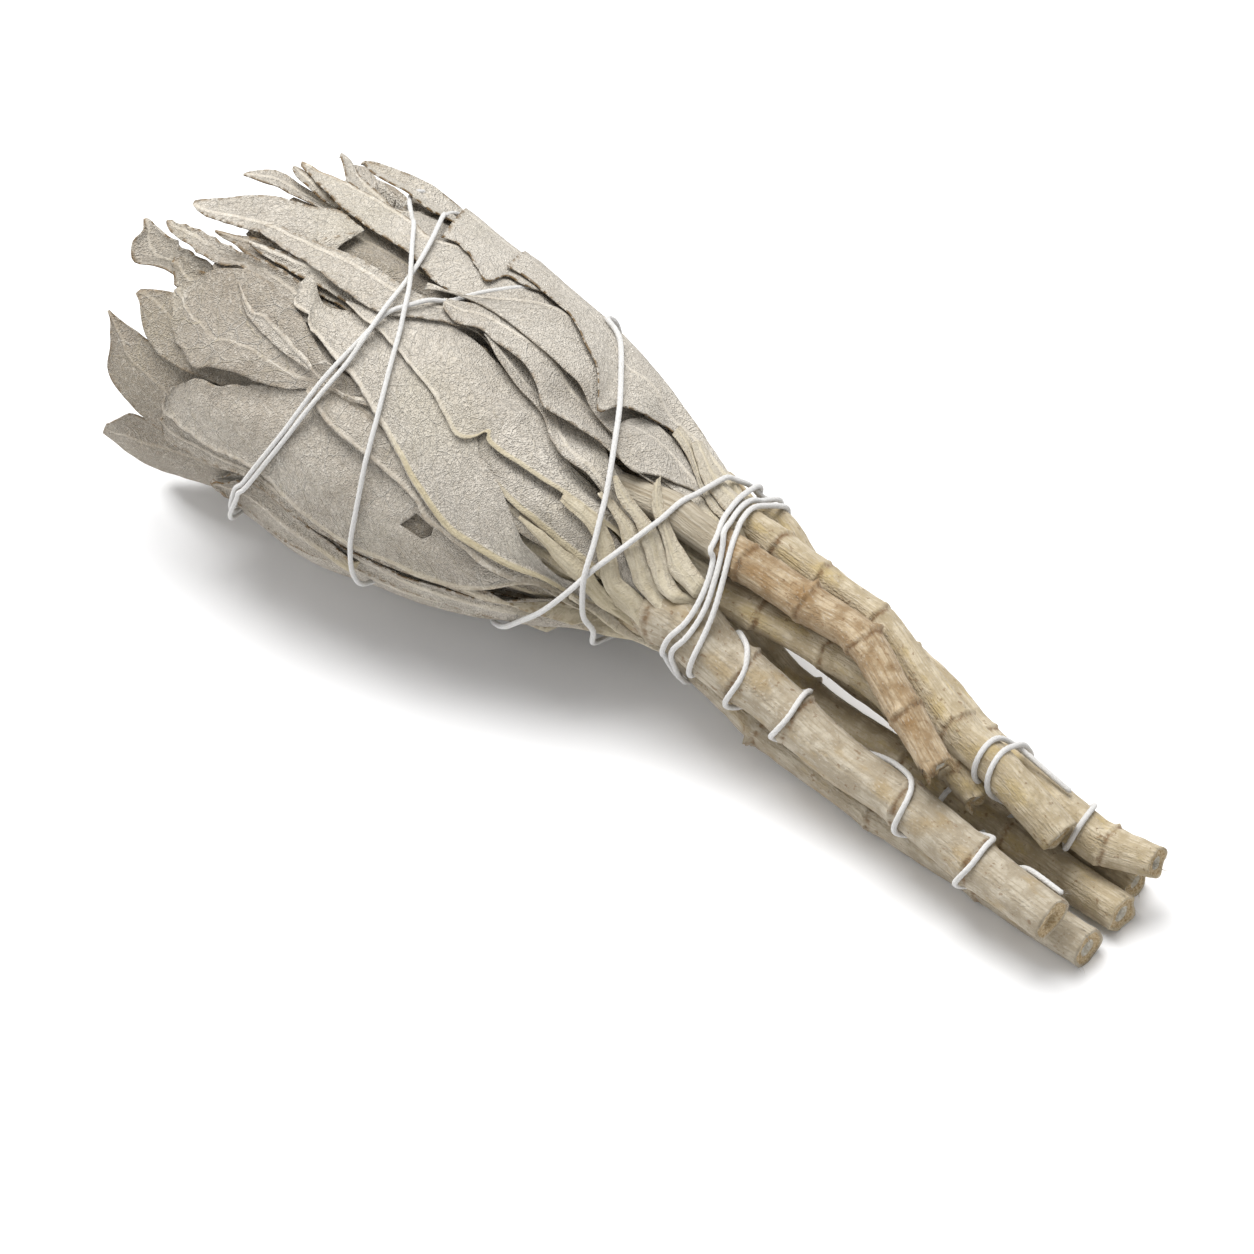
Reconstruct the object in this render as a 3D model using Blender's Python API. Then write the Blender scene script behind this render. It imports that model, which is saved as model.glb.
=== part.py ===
"""A smudge stick: eight leafy stems of dried white sage, bound with one cotton string.

The bundle lies along X, leaf tips at -X and cut stem ends at +X, on the plane z = 0.
Places inside it are given as s, the distance in mm from the leaf tips, and psi, the angle in
degrees round the bundle's centre line, from the side that leans 33 degrees from up towards -Y.
A leaf lies on a shell below the bundle's outer surface, and is tucked under the leaves laid before it.
"""

import math
import random
from collections import namedtuple

import bmesh
import bpy
import numpy as np

MM = 0.001
# The bundle is moved this far along X, so that the middle of its box is at x = 0.
SHIFT_X = -102.8
LEAN = 33.0
# A degree round the bundle is about this many mm on its surface, and leaves lie about this deep.
DEGREE = 0.4
TYPICAL_DEPTH = 4

# Leaves, in mm: the blade's thickness, the depth from one leaf to the next below it, the room kept
# beside a blade, and the steepest that a blade sinks along its length or stands across its width.
BLADE_THICK = 0.62
SHELL_PITCH = 1.18
EDGE_ROOM = 1.0
STEEPEST_SINK = 0.13
SIDE_LIFT = 0.8
CELL_LENGTH = 11.0
WIDE_BLADE = 8.0
PETIOLE_LENGTH = 14.0
PETIOLE_HALF = 1.2
ROOT_HALF = 0.7
TIP_HALF = 1.1
# Where along a blade it is widest, as a share of its length, and how much its edge waves.
WIDEST = 0.5
EDGE_WAVE = 0.08
STEM_SIDES = 8
STRING_RADIUS = 0.68
STRING_GAP = 0.52

# Distance s, then the y and z of the bundle's centre line.
CENTRE_KNOTS = [
    (-10, 0.0, 28.5),
    (45, 0.0, 28.5),
    (71, 0.8, 27.8),
    (87, 2.5, 26.6),
    (100, 4.6, 25.0),
    (110, 6.1, 23.5),
    (120, 5.6, 21.4),
    (132, 4.5, 19.2),
]
# Distance s, then the radius of the bundle's outer surface.
RADIUS_KNOTS = [
    (-10, 30.0),
    (0, 30.8),
    (17, 32.0),
    (32, 32.5),
    (45, 32.2),
    (56, 31.2),
    (71, 28.3),
    (87, 23.9),
    (100, 20.3),
    (110, 18.1),
    (120, 16.0),
    (132, 14.7),
]
WIDE, HIGH = 1.04, 0.90
# Where the head rests: its underside is pressed flat, and rises at both ends to leave room for string.
FLOOR_KNOTS = [(-10, 2.4), (35, 2.4), (42, 0.0), (54, 0.0), (61, 2.4), (132, 2.4)]

# A stem: where it lies in the head (psi), its colour, the s of its ring nodes, and its points outside
# the head (s, y, z, radius) from the neck to its cut end.
Stem = namedtuple("Stem", "psi colour nodes points")
STEMS = {
    "front": Stem(70, "pale", (126, 138, 163, 179), [
        (112, -4.9, 20.6, 4.6), (122, -5.6, 18.3, 4.6), (132, -6.0, 16.2, 4.3), (148, -6.7, 15.0, 4.2),
        (164, -7.3, 14.2, 4.1), (180, -8.3, 13.2, 4.1), (197, -9.2, 12.6, 4.0),
    ]),
    "under": Stem(114, "pale", (129, 155, 178), [
        (112, -1.6, 11.4, 3.7), (122, -2.3, 8.9, 3.7), (132, -3.0, 6.4, 3.7), (148, -3.3, 4.6, 3.8),
        (164, -3.6, 4.0, 3.8), (178, -4.0, 4.1, 3.8), (186, -4.1, 3.58, 3.8), (193, -4.2, 3.58, 3.8),
        (201, -4.3, 3.58, 3.8),
    ]),
    "low": Stem(160, "tan", (133, 153, 175), [
        (112, 7.1, 14.6, 3.5), (122, 5.4, 12.6, 3.4), (132, 4.1, 10.5, 3.3), (150, 5.0, 8.0, 3.3),
        (168, 5.6, 5.7, 3.4), (186, 5.4, 3.9, 3.6), (201, 5.0, 3.8, 3.6),
    ]),
    "back": Stem(212, "tan", (126, 148, 172), [
        (112, 13.5, 21.2, 3.0), (122, 11.8, 17.6, 2.8), (132, 10.6, 14.2, 2.7), (150, 11.8, 10.2, 2.7),
        (168, 12.5, 5.4, 2.8), (184, 12.7, 3.0, 2.9), (198, 12.6, 3.0, 2.9),
    ]),
    "crook": Stem(256, "tan", (124, 145, 164, 193), [
        (112, 21.4, 28.4, 2.6), (122, 18.9, 25.2, 3.0), (132, 16.6, 22.4, 3.3), (154, 16.0, 21.9, 3.5),
        (165, 12.9, 18.9, 3.7), (178, 10.9, 13.7, 3.8), (187, 10.5, 11.5, 3.9), (193, 10.6, 10.8, 3.6),
        (203, 11.7, 12.6, 2.8),
    ]),
    "top": Stem(291, "tan", (119, 128, 141, 163), [
        (112, 13.1, 32.6, 2.9), (122, 13.0, 31.4, 2.9), (132, 13.0, 30.2, 2.9), (142, 12.8, 29.0, 3.0),
        (154, 10.2, 27.2, 3.4), (165, 7.2, 25.0, 3.5), (174, 5.4, 21.2, 3.6), (188, 4.2, 15.4, 3.7),
    ]),
    "broken": Stem(331, "brown", (118, 131, 143, 157), [
        (112, 5.3, 34.6, 3.2), (122, 5.8, 33.2, 3.2), (132, 6.2, 31.9, 3.1), (143, 6.3, 31.3, 3.1),
        (154, 2.2, 28.4, 2.9), (167, -2.8, 24.0, 2.8),
    ]),
    "middle": Stem(22, "tan", (122, 136, 151, 166), [
        (112, 1.7, 26.4, 3.5), (122, 3.6, 25.3, 3.4), (132, 5.2, 24.2, 3.3), (146, 6.4, 22.4, 3.2),
        (160, 4.4, 19.6, 3.1), (172, 2.0, 15.4, 3.1),
    ]),
}
# A stem in the head: s, distance from the centre line, and its share of the radius at the neck.
HEAD_POINTS = [(44, 12.5, 0.42), (58, 12.5, 0.5), (74, 12.2, 0.6), (88, 11.4, 0.72), (100, 10.8, 0.88)]
NODE_LENGTH = 2.2
NODE_SWELL = 1.13

COLOURS = {
    "pale": (0.52, 0.47, 0.39, 1.0),
    "tan": (0.50, 0.42, 0.29, 1.0),
    "brown": (0.46, 0.34, 0.20, 1.0),
    "string": (0.86, 0.85, 0.82, 1.0),
}

# A leaf: its stem, the s where it leaves the stem, the places (s, psi) along its midrib from there to
# the tip, and half its width. The list runs from the outermost leaf inwards.
Leaf = namedtuple("Leaf", "stem root path half")
LAYER_STEP = 6.5
FIRST_ROOT = 110.0
PETIOLE_RISE = 9.0
# The leaves that show from the camera side: their layer, stem, midrib places and half width.
SHOWN_LEAVES = [
    (0, "middle", [(101, 8), (84, -2), (75, -10), (61, -16), (46, -18)], 7.4),
    (0, "front", [(98, 48), (83, 31), (74, 21), (61, 7), (49, -1)], 5.6),
    (0, "broken", [(100, -33), (86, -38), (73, -44), (61, -46), (50, -40)], 5.0),
    (0, "top", [(100, -64), (82, -73), (54, -71), (37, -76), (20, -76)], 5.4),
    (0, "under", [(100, 104), (80, 88), (56, 78), (31, 62)], 5.6),
    (1, "middle", [(93, 22), (80, 14), (61, -2), (47, -7)], 5.0),
    (1, "front", [(93, 64), (70, 56), (52, 54), (41, 48)], 6.2),
    (1, "broken", [(92, -36), (67, -49), (52, -47), (33, -48), (15, -52)], 6.6),
    (1, "top", [(92, -66), (77, -68), (55, -60), (37, -58), (17, -66)], 4.2),
    (1, "under", [(93, 98), (77, 84), (53, 70), (33, 68), (18, 74), (5, 77)], 7.0),
    (2, "middle", [(86, 16), (74, -8), (54, -11), (35, -10)], 5.2),
    (2, "front", [(86, 62), (65, 42), (45, 30), (34, 32), (20, 38)], 8.2),
    (2, "broken", [(86, -30), (72, -34), (56, -29), (46, -25), (31, -24), (21, -24)], 4.8),
    (3, "middle", [(80, 20), (68, 11), (46, 6), (29, 8), (14, 8)], 9.6),
    (3, "front", [(80, 64), (64, 52), (44, 40), (30, 38), (17, 34), (4, 26)], 7.2),
    (3, "broken", [(80, -30), (59, -33), (45, -35), (30, -33), (18, -25), (7, -17)], 7.4),
    (4, "front", [(74, 60), (55, 56), (39, 50), (19, 46)], 5.0),
    (4, "middle", [(74, 20), (60, 22), (45, 22), (28, 20), (7, 17)], 6.4),
    (4, "broken", [(74, -34), (50, -44), (35, -42), (18, -40), (10, -35)], 5.4),
    (5, "middle", [(67, 14), (55, 5), (38, -1), (19, 0), (2, -1)], 5.8),
    (5, "broken", [(67, -26), (60, -14), (47, -10), (31, -11), (5, -9)], 5.8),
]
LAYERS = 10
# How far from its stem's psi a leaf of each layer may end, and its half width.
HIDDEN_SPREAD = [34, 32, 30, 28, 26, 24, 20, 16, 11, 8]
HIDDEN_HALF = [7.6, 8.0, 7.8, 7.4, 7.0, 6.4, 5.8, 5.0, 4.0, 3.2]
SEED = 41

# The string: (what it lies on, s, psi) from its loose end at the top stems to its end at the front stem.
HOLDS = {
    "bundle": list(STEMS),
    "pair": ["top", "crook"],
    "front": ["front"],
    "rear": ["low", "back"],
}
ROUTE = [
    ("pair", 171.5, -150), ("pair", 172.5, -60), ("pair", 174, 30), ("pair", 175.6, 120),
    ("pair", 176.8, 210), ("pair", 177.6, 300), ("pair", 178.0, 380), ("pair", 177.2, 420),
    ("rear", 172, 50), ("rear", 170, 110), ("rear", 168, 200), ("rear", 166, 290), ("rear", 164, 380),
    ("rear", 162, 470), ("rear", 160, 550), ("rear", 157, 590),
    ("bundle", 149, 228), ("bundle", 143, 230), ("bundle", 134, 235), ("bundle", 121, 252),
    ("bundle", 110, 272), ("bundle", 106.5, 290), ("bundle", 106, 323), ("bundle", 104, 349),
    ("bundle", 101, 379), ("bundle", 95, 409), ("bundle", 87, 435), ("bundle", 78, 470), ("bundle", 70, 507),
    ("bundle", 66, 555), ("bundle", 62, 600), ("bundle", 60, 640), ("bundle", 57.5, 677), ("bundle", 54, 688),
    ("bundle", 50.5, 698), ("bundle", 49, 714), ("bundle", 48, 744), ("bundle", 43, 766),
    ("bundle", 38.5, 786),
    ("bundle", 33.5, 820), ("bundle", 31.5, 867), ("bundle", 33.5, 920), ("bundle", 38, 970),
    ("bundle", 41, 1006), ("bundle", 43, 1035), ("bundle", 45.4, 1070), ("bundle", 44.4, 1104),
    ("bundle", 39.5, 1126), ("bundle", 34.5, 1146), ("bundle", 30, 1180), ("bundle", 28.5, 1227),
    ("bundle", 30.5, 1280), ("bundle", 34.5, 1330), ("bundle", 38, 1372), ("bundle", 43, 1395),
    ("bundle", 51, 1416), ("bundle", 57, 1442), ("bundle", 60, 1475), ("bundle", 60.5, 1515),
    ("bundle", 62.5, 1550), ("bundle", 64, 1587), ("bundle", 60, 1640), ("bundle", 50, 1690),
    ("bundle", 44.5, 1722), ("bundle", 49, 1735), ("bundle", 58, 1728), ("bundle", 68, 1724),
    ("bundle", 78, 1731), ("bundle", 85.5, 1744), ("bundle", 90.6, 1768), ("bundle", 96.5, 1807),
    ("bundle", 98.8, 1833), ("bundle", 99.6, 1853), ("bundle", 101.5, 1870), ("bundle", 106, 1930),
    ("bundle", 109, 2000), ("bundle", 111, 2084), ("bundle", 112, 2200), ("bundle", 113.6, 2330),
    ("bundle", 114.4, 2450), ("bundle", 115.9, 2580), ("bundle", 116.9, 2690), ("bundle", 118.4, 2800),
    ("bundle", 119.6, 2900), ("bundle", 121.5, 2975),
    ("front", 127, 130), ("front", 129, 200), ("front", 132, 290), ("front", 137, 380), ("front", 142, 470),
    ("front", 147, 560), ("front", 151, 650), ("front", 155.5, 740), ("front", 160, 830), ("front", 164, 920),
    ("front", 168, 1010), ("front", 173, 1100), ("front", 178, 1190), ("front", 183, 1280),
    ("front", 187, 1370), ("front", 190, 1440),
]
# Distance s, then how far the string may sink below the outer surface there.
SAG_KNOTS = [(-10, 3.0), (88, 3.0), (98, 0.3), (132, 0.3)]
# The string spans this many depth cells on each side of a place, and the neck is between these s.
STRING_SPAN = 3
NECK = (106, 114)
# Distance s, then the length of the string's straight pieces there: short round the thin stems.
STRING_STEPS = [(100, 4.4), (106, 3.2), (122, 3.2), (126, 2.4), (210, 2.4)]
STRING_SIDES = 5
CROSSING_RISE = 1.75
CROSSING_SLOPE = 0.3
HULL_SIDES = 24


def smooth_path(points, step):
    """A Catmull-Rom curve through points of any dimension, as rows about step apart."""
    p = np.array(points, float)
    p = np.vstack([2 * p[0] - p[1], p, 2 * p[-1] - p[-2]])
    rows = []
    for a, b, c, d in zip(p[:-3], p[1:-2], p[2:-1], p[3:]):
        count = max(1, math.ceil(np.linalg.norm(c - b) / step))
        for i in range(count):
            t = i / count
            rows.append(0.5 * (2 * b + (c - a) * t + (2 * a - 5 * b + 4 * c - d) * t * t
                               + (3 * b - a - 3 * c + d) * t ** 3))
    rows.append(p[-2])
    return np.array(rows)


def table(knots, column, s):
    knots = np.array(knots, float)
    return np.interp(s, knots[:, 0], knots[:, column])


def direction(psi):
    """The unit y and z of an angle round the bundle's centre line."""
    a = math.radians(psi)
    lean = math.radians(LEAN)
    return np.array([-math.sin(lean) * math.cos(a) - math.cos(lean) * math.sin(a),
                     math.cos(lean) * math.cos(a) - math.sin(lean) * math.sin(a)])


def centre_at(s):
    return np.array([table(CENTRE_KNOTS, 1, s), table(CENTRE_KNOTS, 2, s)])


def shell_point(s, psi, depth):
    """The place in the bundle at this depth below its outer surface, in mm."""
    reach = (table(RADIUS_KNOTS, 1, s) - depth) * direction(psi) * (WIDE, HIGH)
    y, z = centre_at(s) + reach
    return np.array([s, y, max(z, table(FLOOR_KNOTS, 1, s) + depth)])


def stem_path(name):
    """The stem's points as s, y, z and radius, from its end among the leaves to its cut end."""
    stem = STEMS[name]
    neck_radius = stem.points[0][3]
    inner = []
    for s, distance, share in HEAD_POINTS:
        y, z = centre_at(s) + distance * direction(stem.psi)
        inner.append((s, y, z, share * neck_radius))
    return smooth_path(inner + list(stem.points), 3.0)


PATHS = {name: stem_path(name) for name in STEMS}


def stem_at(name, s):
    """The stem's y, z and radius at this s, its ring nodes included."""
    path = PATHS[name]
    y, z, radius = (np.interp(s, path[:, 0], path[:, k]) for k in (1, 2, 3))
    nearest = min(abs(s - node) for node in STEMS[name].nodes)
    return np.array([y, z, radius * (1 + (NODE_SWELL - 1) * max(0, 1 - nearest / NODE_LENGTH))])


def frames_along(path):
    """Two directions across the path at each point, turned as little as possible from one to the next."""
    tangents = np.gradient(path, axis=0)
    tangents /= np.linalg.norm(tangents, axis=1)[:, None]
    side = np.cross(tangents[0], (0.0, 0.0, 1.0))
    sides, ups = [], []
    for tangent in tangents:
        side = side - tangent * side.dot(tangent)
        side /= np.linalg.norm(side)
        sides.append(side)
        ups.append(np.cross(side, tangent))
    return np.array(sides), np.array(ups)


def level_frames(path):
    """Two directions across the path at each point, the first of them level."""
    tangents = np.gradient(path, axis=0)
    sides = np.cross(tangents, (0.0, 0.0, 1.0))
    ups = np.cross(sides, tangents)
    return (sides / np.linalg.norm(sides, axis=1)[:, None], ups / np.linalg.norm(ups, axis=1)[:, None])


def add_tube(bm, path, radii, sides, frames):
    """A closed tube: rings round the path joined by quads, with flat ends."""
    across, up = frames
    rings = []
    for point, radius, a, b in zip(path, radii, across, up):
        turns = [2 * math.pi * (k + 0.5) / sides for k in range(sides)]
        rings.append([bm.verts.new((point + radius * (math.cos(turn) * a + math.sin(turn) * b)) * MM)
                      for turn in turns])
    for low, high in zip(rings[:-1], rings[1:]):
        for k in range(sides):
            bm.faces.new((low[k], high[k], high[(k + 1) % sides], low[(k + 1) % sides]))
    bm.faces.new(rings[0])
    bm.faces.new(rings[-1][::-1])


def make_stem(bm, name):
    """The stem: a tube with a swollen ring at each node."""
    end = PATHS[name][-1, 0]
    stations = [row[0] for row in HEAD_POINTS] + [112.0]
    for node in STEMS[name].nodes:
        stations += [node - NODE_LENGTH, node, node + NODE_LENGTH]
    stations += [row[0] for row in STEMS[name].points if min(abs(row[0] - s) for s in stations) > 4]
    stations = sorted(s for s in stations if s < end - 2) + [end]
    rows = np.array([[s, *stem_at(name, s)] for s in stations])
    add_tube(bm, rows[:, :3], rows[:, 3], STEM_SIDES, level_frames(rows[:, :3]))


S_LOW, S_HIGH, PSI_STEP = -14, 132, 2.5
PSI_COUNT = int(360 / PSI_STEP)


class Depths:
    """How deep the laid leaves reach at each s and psi: the next leaf goes below that."""

    def __init__(self):
        self.grid = np.full((S_HIGH - S_LOW, PSI_COUNT), -SHELL_PITCH + BLADE_THICK / 2 + 0.05)
        self.outer = np.repeat([table(SAG_KNOTS, 1, np.arange(S_LOW, S_HIGH))], PSI_COUNT, axis=0).T

    def cell(self, s, psi):
        return (int(np.clip(round(s) - S_LOW, 0, S_HIGH - S_LOW - 1)), round(psi / PSI_STEP) % PSI_COUNT)

    def needed(self, points):
        return max(self.grid[self.cell(s, psi)] for s, psi in points) + SHELL_PITCH

    def lay(self, s, psi, highest, deepest):
        cell = self.cell(s, psi)
        self.grid[cell] = max(self.grid[cell], deepest)
        self.outer[cell] = min(self.outer[cell], highest)

    def surface(self, s, psi):
        """The depth of the outermost leaf within a few mm: what a tight string rests on there."""
        row, column = self.cell(s, psi)
        rows = slice(max(0, row - STRING_SPAN), row + STRING_SPAN + 1)
        columns = np.arange(column - STRING_SPAN, column + STRING_SPAN + 1) % PSI_COUNT
        return self.outer[rows][:, columns].min() - BLADE_THICK / 2


def blade_half(t, half, rng):
    """The blade's half width at t, from 0 at the petiole's top to 1 at the tip."""
    if t < WIDEST:
        body = math.sin(math.pi / 2 * (0.1 + 0.9 * t / WIDEST)) ** 0.8
    else:
        body = (1 - ((t - WIDEST) / (1 - WIDEST)) ** 2.6) ** 0.7
    wave = 1 + EDGE_WAVE * rng.uniform(-1, 1)
    return max(PETIOLE_HALF if t < WIDEST else TIP_HALF, half * body * wave)


def leaf_places(leaf, rng):
    """Rows of (s, psi) across the leaf, from the top of its rise off the stem to its tip."""
    midrib = smooth_path(leaf.path, 1.0)
    steps = np.hypot(np.diff(midrib[:, 0]), np.diff(midrib[:, 1]) * DEGREE)
    along = np.concatenate([[0], np.cumsum(steps)])
    length = along[-1]
    reach = np.linspace(0, length, max(4, round(length / CELL_LENGTH)) + 1)
    middle = np.array([np.interp(reach, along, column) for column in midrib.T]).T
    petiole = min(0.3, PETIOLE_LENGTH / length)
    columns = 2 if leaf.half > WIDE_BLADE else 1
    rows = []
    for (s, psi), (ds, dpsi), t in zip(middle, np.gradient(middle, axis=0), reach / length):
        shell = table(RADIUS_KNOTS, 1, s) - TYPICAL_DEPTH
        run = np.array([ds, math.radians(dpsi) * shell])
        run /= np.linalg.norm(run)
        half = PETIOLE_HALF
        if t >= petiole:
            half = blade_half((t - petiole) / (1 - petiole), leaf.half, rng)
        rows.append([(s - a * half * run[1], psi + math.degrees(a * half * run[0] / shell))
                     for a in np.linspace(-1, 1, 2 * columns + 1)])
    return np.array(rows)


def sink_below(places, depths):
    """The depth of each place of a leaf: below all that is laid, and with no steep step along it."""
    rows, cols = places.shape[:2]
    patches = {(i, j): patch(places[i:i + 2, j:j + 2].reshape(4, 2))
               for i in range(rows - 1) for j in range(cols - 1)}
    need = np.zeros((rows - 1, cols - 1))
    for cell, points in patches.items():
        need[cell] = depths.needed(points)
    depth = np.array([[need[max(0, i - 1):i + 1, max(0, j - 1):j + 1].max() for j in range(cols)]
                      for i in range(rows)])
    spine = depth.max(axis=1)
    middle = places[:, cols // 2] * (1, DEGREE)
    sink = STEEPEST_SINK * np.linalg.norm(np.diff(middle, axis=0), axis=1)
    for i in range(1, rows):
        spine[i] = max(spine[i], spine[i - 1] - sink[i - 1])
    for i in range(rows - 2, -1, -1):
        spine[i] = max(spine[i], spine[i + 1] - sink[i])
    depth = np.maximum(depth, spine[:, None] - SIDE_LIFT)
    for (i, j), points in patches.items():
        corners = depth[i:i + 2, j:j + 2]
        for s, psi in points:
            depths.lay(s, psi, corners.min(), corners.max())
    return depth


def make_leaf(bm, leaf, depths, rng):
    """A thin blade on a narrow petiole that rises from inside its stem."""
    places = leaf_places(leaf, rng)
    depth = sink_below(places, depths)
    y, z, _ = stem_at(leaf.stem, leaf.root)
    out = direction(STEMS[leaf.stem].psi)
    root = [np.array([leaf.root, y + a * out[1], z - a * out[0]])
            for a in np.linspace(-ROOT_HALF, ROOT_HALF, places.shape[1])]
    grid = [root] + [[shell_point(s, psi, h) for (s, psi), h in zip(row, deep)]
                     for row, deep in zip(places, depth)]
    outwards = [[out] * len(root)] + [[direction(psi) for _, psi in row] for row in places]
    add_blade(bm, grid, outwards)


def patch(corners):
    """Places spread over a four cornered patch and a little beyond its side edges."""
    a, b, c, d = corners
    count_s = max(2, math.ceil(max(abs(c[0] - a[0]), abs(d[0] - b[0]))))
    count_psi = max(2, math.ceil(max(abs(b[1] - a[1]), abs(d[1] - c[1])) / PSI_STEP) + 1)
    room = EDGE_ROOM / DEGREE
    found = []
    for u in np.linspace(0, 1, count_s + 1):
        left, right = a + (c - a) * u, b + (d - b) * u
        found += [left + (right - left) * v for v in np.linspace(0, 1, count_psi + 1)]
        side = (0, math.copysign(room, right[1] - left[1]))
        found += [left - side, right + side]
    return found


def add_blade(bm, grid, outwards):
    """A plate of even thickness over the grid, split into triangles alike on both faces."""
    faces = []
    for sign in (1, -1):
        faces.append([[bm.verts.new((point + sign * BLADE_THICK / 2 * np.array([0, *out])) * MM)
                       for point, out in zip(row, outs)] for row, outs in zip(grid, outwards)])
    upper, lower = faces
    rows, cols = len(grid), len(grid[0])
    for i in range(rows - 1):
        for j in range(cols - 1):
            for side, flip in ((upper, False), (lower, True)):
                a, b = side[i][j], side[i][j + 1]
                c, d = side[i + 1][j + 1], side[i + 1][j]
                for tri in ((a, b, c), (a, c, d)):
                    bm.faces.new(tri[::-1] if flip else tri)
    rim = [(0, j) for j in range(cols)] + [(i, cols - 1) for i in range(1, rows)]
    rim += [(rows - 1, j) for j in range(cols - 2, -1, -1)] + [(i, 0) for i in range(rows - 2, 0, -1)]
    for (i, j), (k, m) in zip(rim, rim[1:] + rim[:1]):
        bm.faces.new((upper[i][j], lower[i][j], lower[k][m]))
        bm.faces.new((upper[i][j], lower[k][m], upper[k][m]))


def cross_section_hull(circles, turn):
    """The point at an angle round the circles' centre on the tightest loop round them: its y and z."""
    middle = circles[:, :2].mean(axis=0)
    angles = np.radians(np.arange(0, 360, 360 / HULL_SIDES))
    rim = np.array([c[:2] + c[2] * np.array([math.cos(a), math.sin(a)]) - middle
                    for c in circles for a in angles])
    ray = direction(turn)
    normals = np.array([[math.cos(a), math.sin(a)] for a in np.radians(np.arange(0, 360, 5))])
    support = (normals @ rim.T).max(axis=1)
    facing = normals @ ray
    reach = (support[facing > 0.05] / facing[facing > 0.05]).min()
    return middle + ray * reach, middle


def string_place(hold, s, turn, depths):
    """Where the string lies against what it holds, and the way out from there."""
    circles = np.array([stem_at(name, s) for name in HOLDS[hold] if PATHS[name][-1, 0] > s - 1])
    circles[:, 2] += STRING_RADIUS + STRING_GAP
    place, middle = cross_section_hull(circles, turn)
    if hold == "bundle" and s < NECK[1]:
        shell = shell_point(s, turn, depths.surface(s, turn) - STRING_RADIUS - STRING_GAP)[1:]
        centre = centre_at(s)
        hull = np.linalg.norm(place - centre)
        outer = np.linalg.norm(shell - centre)
        if s < NECK[0] or outer > hull:
            place = shell
            middle = centre
    out = place - middle
    return np.array([s, *place]), np.array([0, *(out / np.linalg.norm(out))])


def string_path(depths):
    """The whole string's centre line, raised where it crosses over itself."""
    places, outs = [], []
    start = 0
    while start < len(ROUTE):
        end = start
        while end < len(ROUTE) and ROUTE[end][0] == ROUTE[start][0]:
            end += 1
        part = smooth_path([(s, turn * DEGREE) for _, s, turn in ROUTE[start:end]], 0.8)
        for s, turn in part:
            place, out = string_place(ROUTE[start][0], s, turn / DEGREE, depths)
            places.append(place)
            outs.append(out)
        start = end
    places = resample(np.hstack([places, outs]), 1.0)
    for _ in range(2):
        places[1:-1] = (places[:-2] + 2 * places[1:-1] + places[2:]) / 4
    rise = np.zeros(len(places))
    for i in range(14, len(places)):
        away = np.linalg.norm(places[:i - 12, :3] - places[i, :3], axis=1)
        near = away < 2 * STRING_RADIUS + 0.6
        if near.any():
            rise[i] = rise[:i - 12][near].max() + CROSSING_RISE
    for i in range(1, len(rise)):
        rise[i] = max(rise[i], rise[i - 1] - CROSSING_SLOPE)
    for i in range(len(rise) - 2, -1, -1):
        rise[i] = max(rise[i], rise[i + 1] - CROSSING_SLOPE)
    places[:, :3] += rise[:, None] * places[:, 3:]
    return resample(places[:, :3], STRING_STEPS)


def resample(rows, step):
    """The rows again, at steps of this length along the line through their first three columns."""
    runs = np.linalg.norm(np.diff(rows[:, :3], axis=0), axis=1)
    steps = table(step, 1, rows[:-1, 0]) if isinstance(step, list) else step
    along = np.concatenate([[0], np.cumsum(runs / steps)])
    even = np.linspace(0, along[-1], max(2, round(along[-1])))
    return np.array([np.interp(even, along, column) for column in rows.T]).T


def all_leaves(rng):
    """Every leaf, outermost first: those listed as shown, and the rest by rule."""
    shown = {(layer, stem): Leaf(stem, FIRST_ROOT - LAYER_STEP * layer, path, half)
             for layer, stem, path, half in SHOWN_LEAVES}
    leaves = []
    for layer in range(LAYERS):
        root = FIRST_ROOT - LAYER_STEP * layer
        for stem in STEMS:
            if (layer, stem) in shown:
                leaves.append(shown[layer, stem])
                continue
            psi = STEMS[stem].psi
            spread = HIDDEN_SPREAD[layer] * rng.uniform(-1, 1)
            bow = 0.35 * HIDDEN_SPREAD[layer] * rng.uniform(-1, 1)
            tip = rng.uniform(4, 16) + (14 if layer < 2 else 0)
            start = root - PETIOLE_RISE
            path = [(start, psi), (start - 12, psi + 0.15 * spread),
                    ((start + tip) / 2, psi + 0.6 * spread + bow), (tip, psi + spread)]
            leaves.append(Leaf(stem, root, path, HIDDEN_HALF[layer] * rng.uniform(0.85, 1.12)))
    return leaves


def material(name, colour):
    found = bpy.data.materials.new(name)
    found.use_nodes = True
    shader = found.node_tree.nodes["Principled BSDF"]
    shader.inputs["Base Color"].default_value = colour
    shader.inputs["Roughness"].default_value = 0.9
    shader.inputs["Metallic"].default_value = 0.0
    return found


def object_of(name, bm, finish):
    mesh = bpy.data.meshes.new(name)
    bm.to_mesh(mesh)
    bm.free()
    mesh.materials.append(finish)
    thing = bpy.data.objects.new(name, mesh)
    bpy.context.scene.collection.objects.link(thing)
    thing.location = (SHIFT_X * MM, 0, 0)
    return thing


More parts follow.
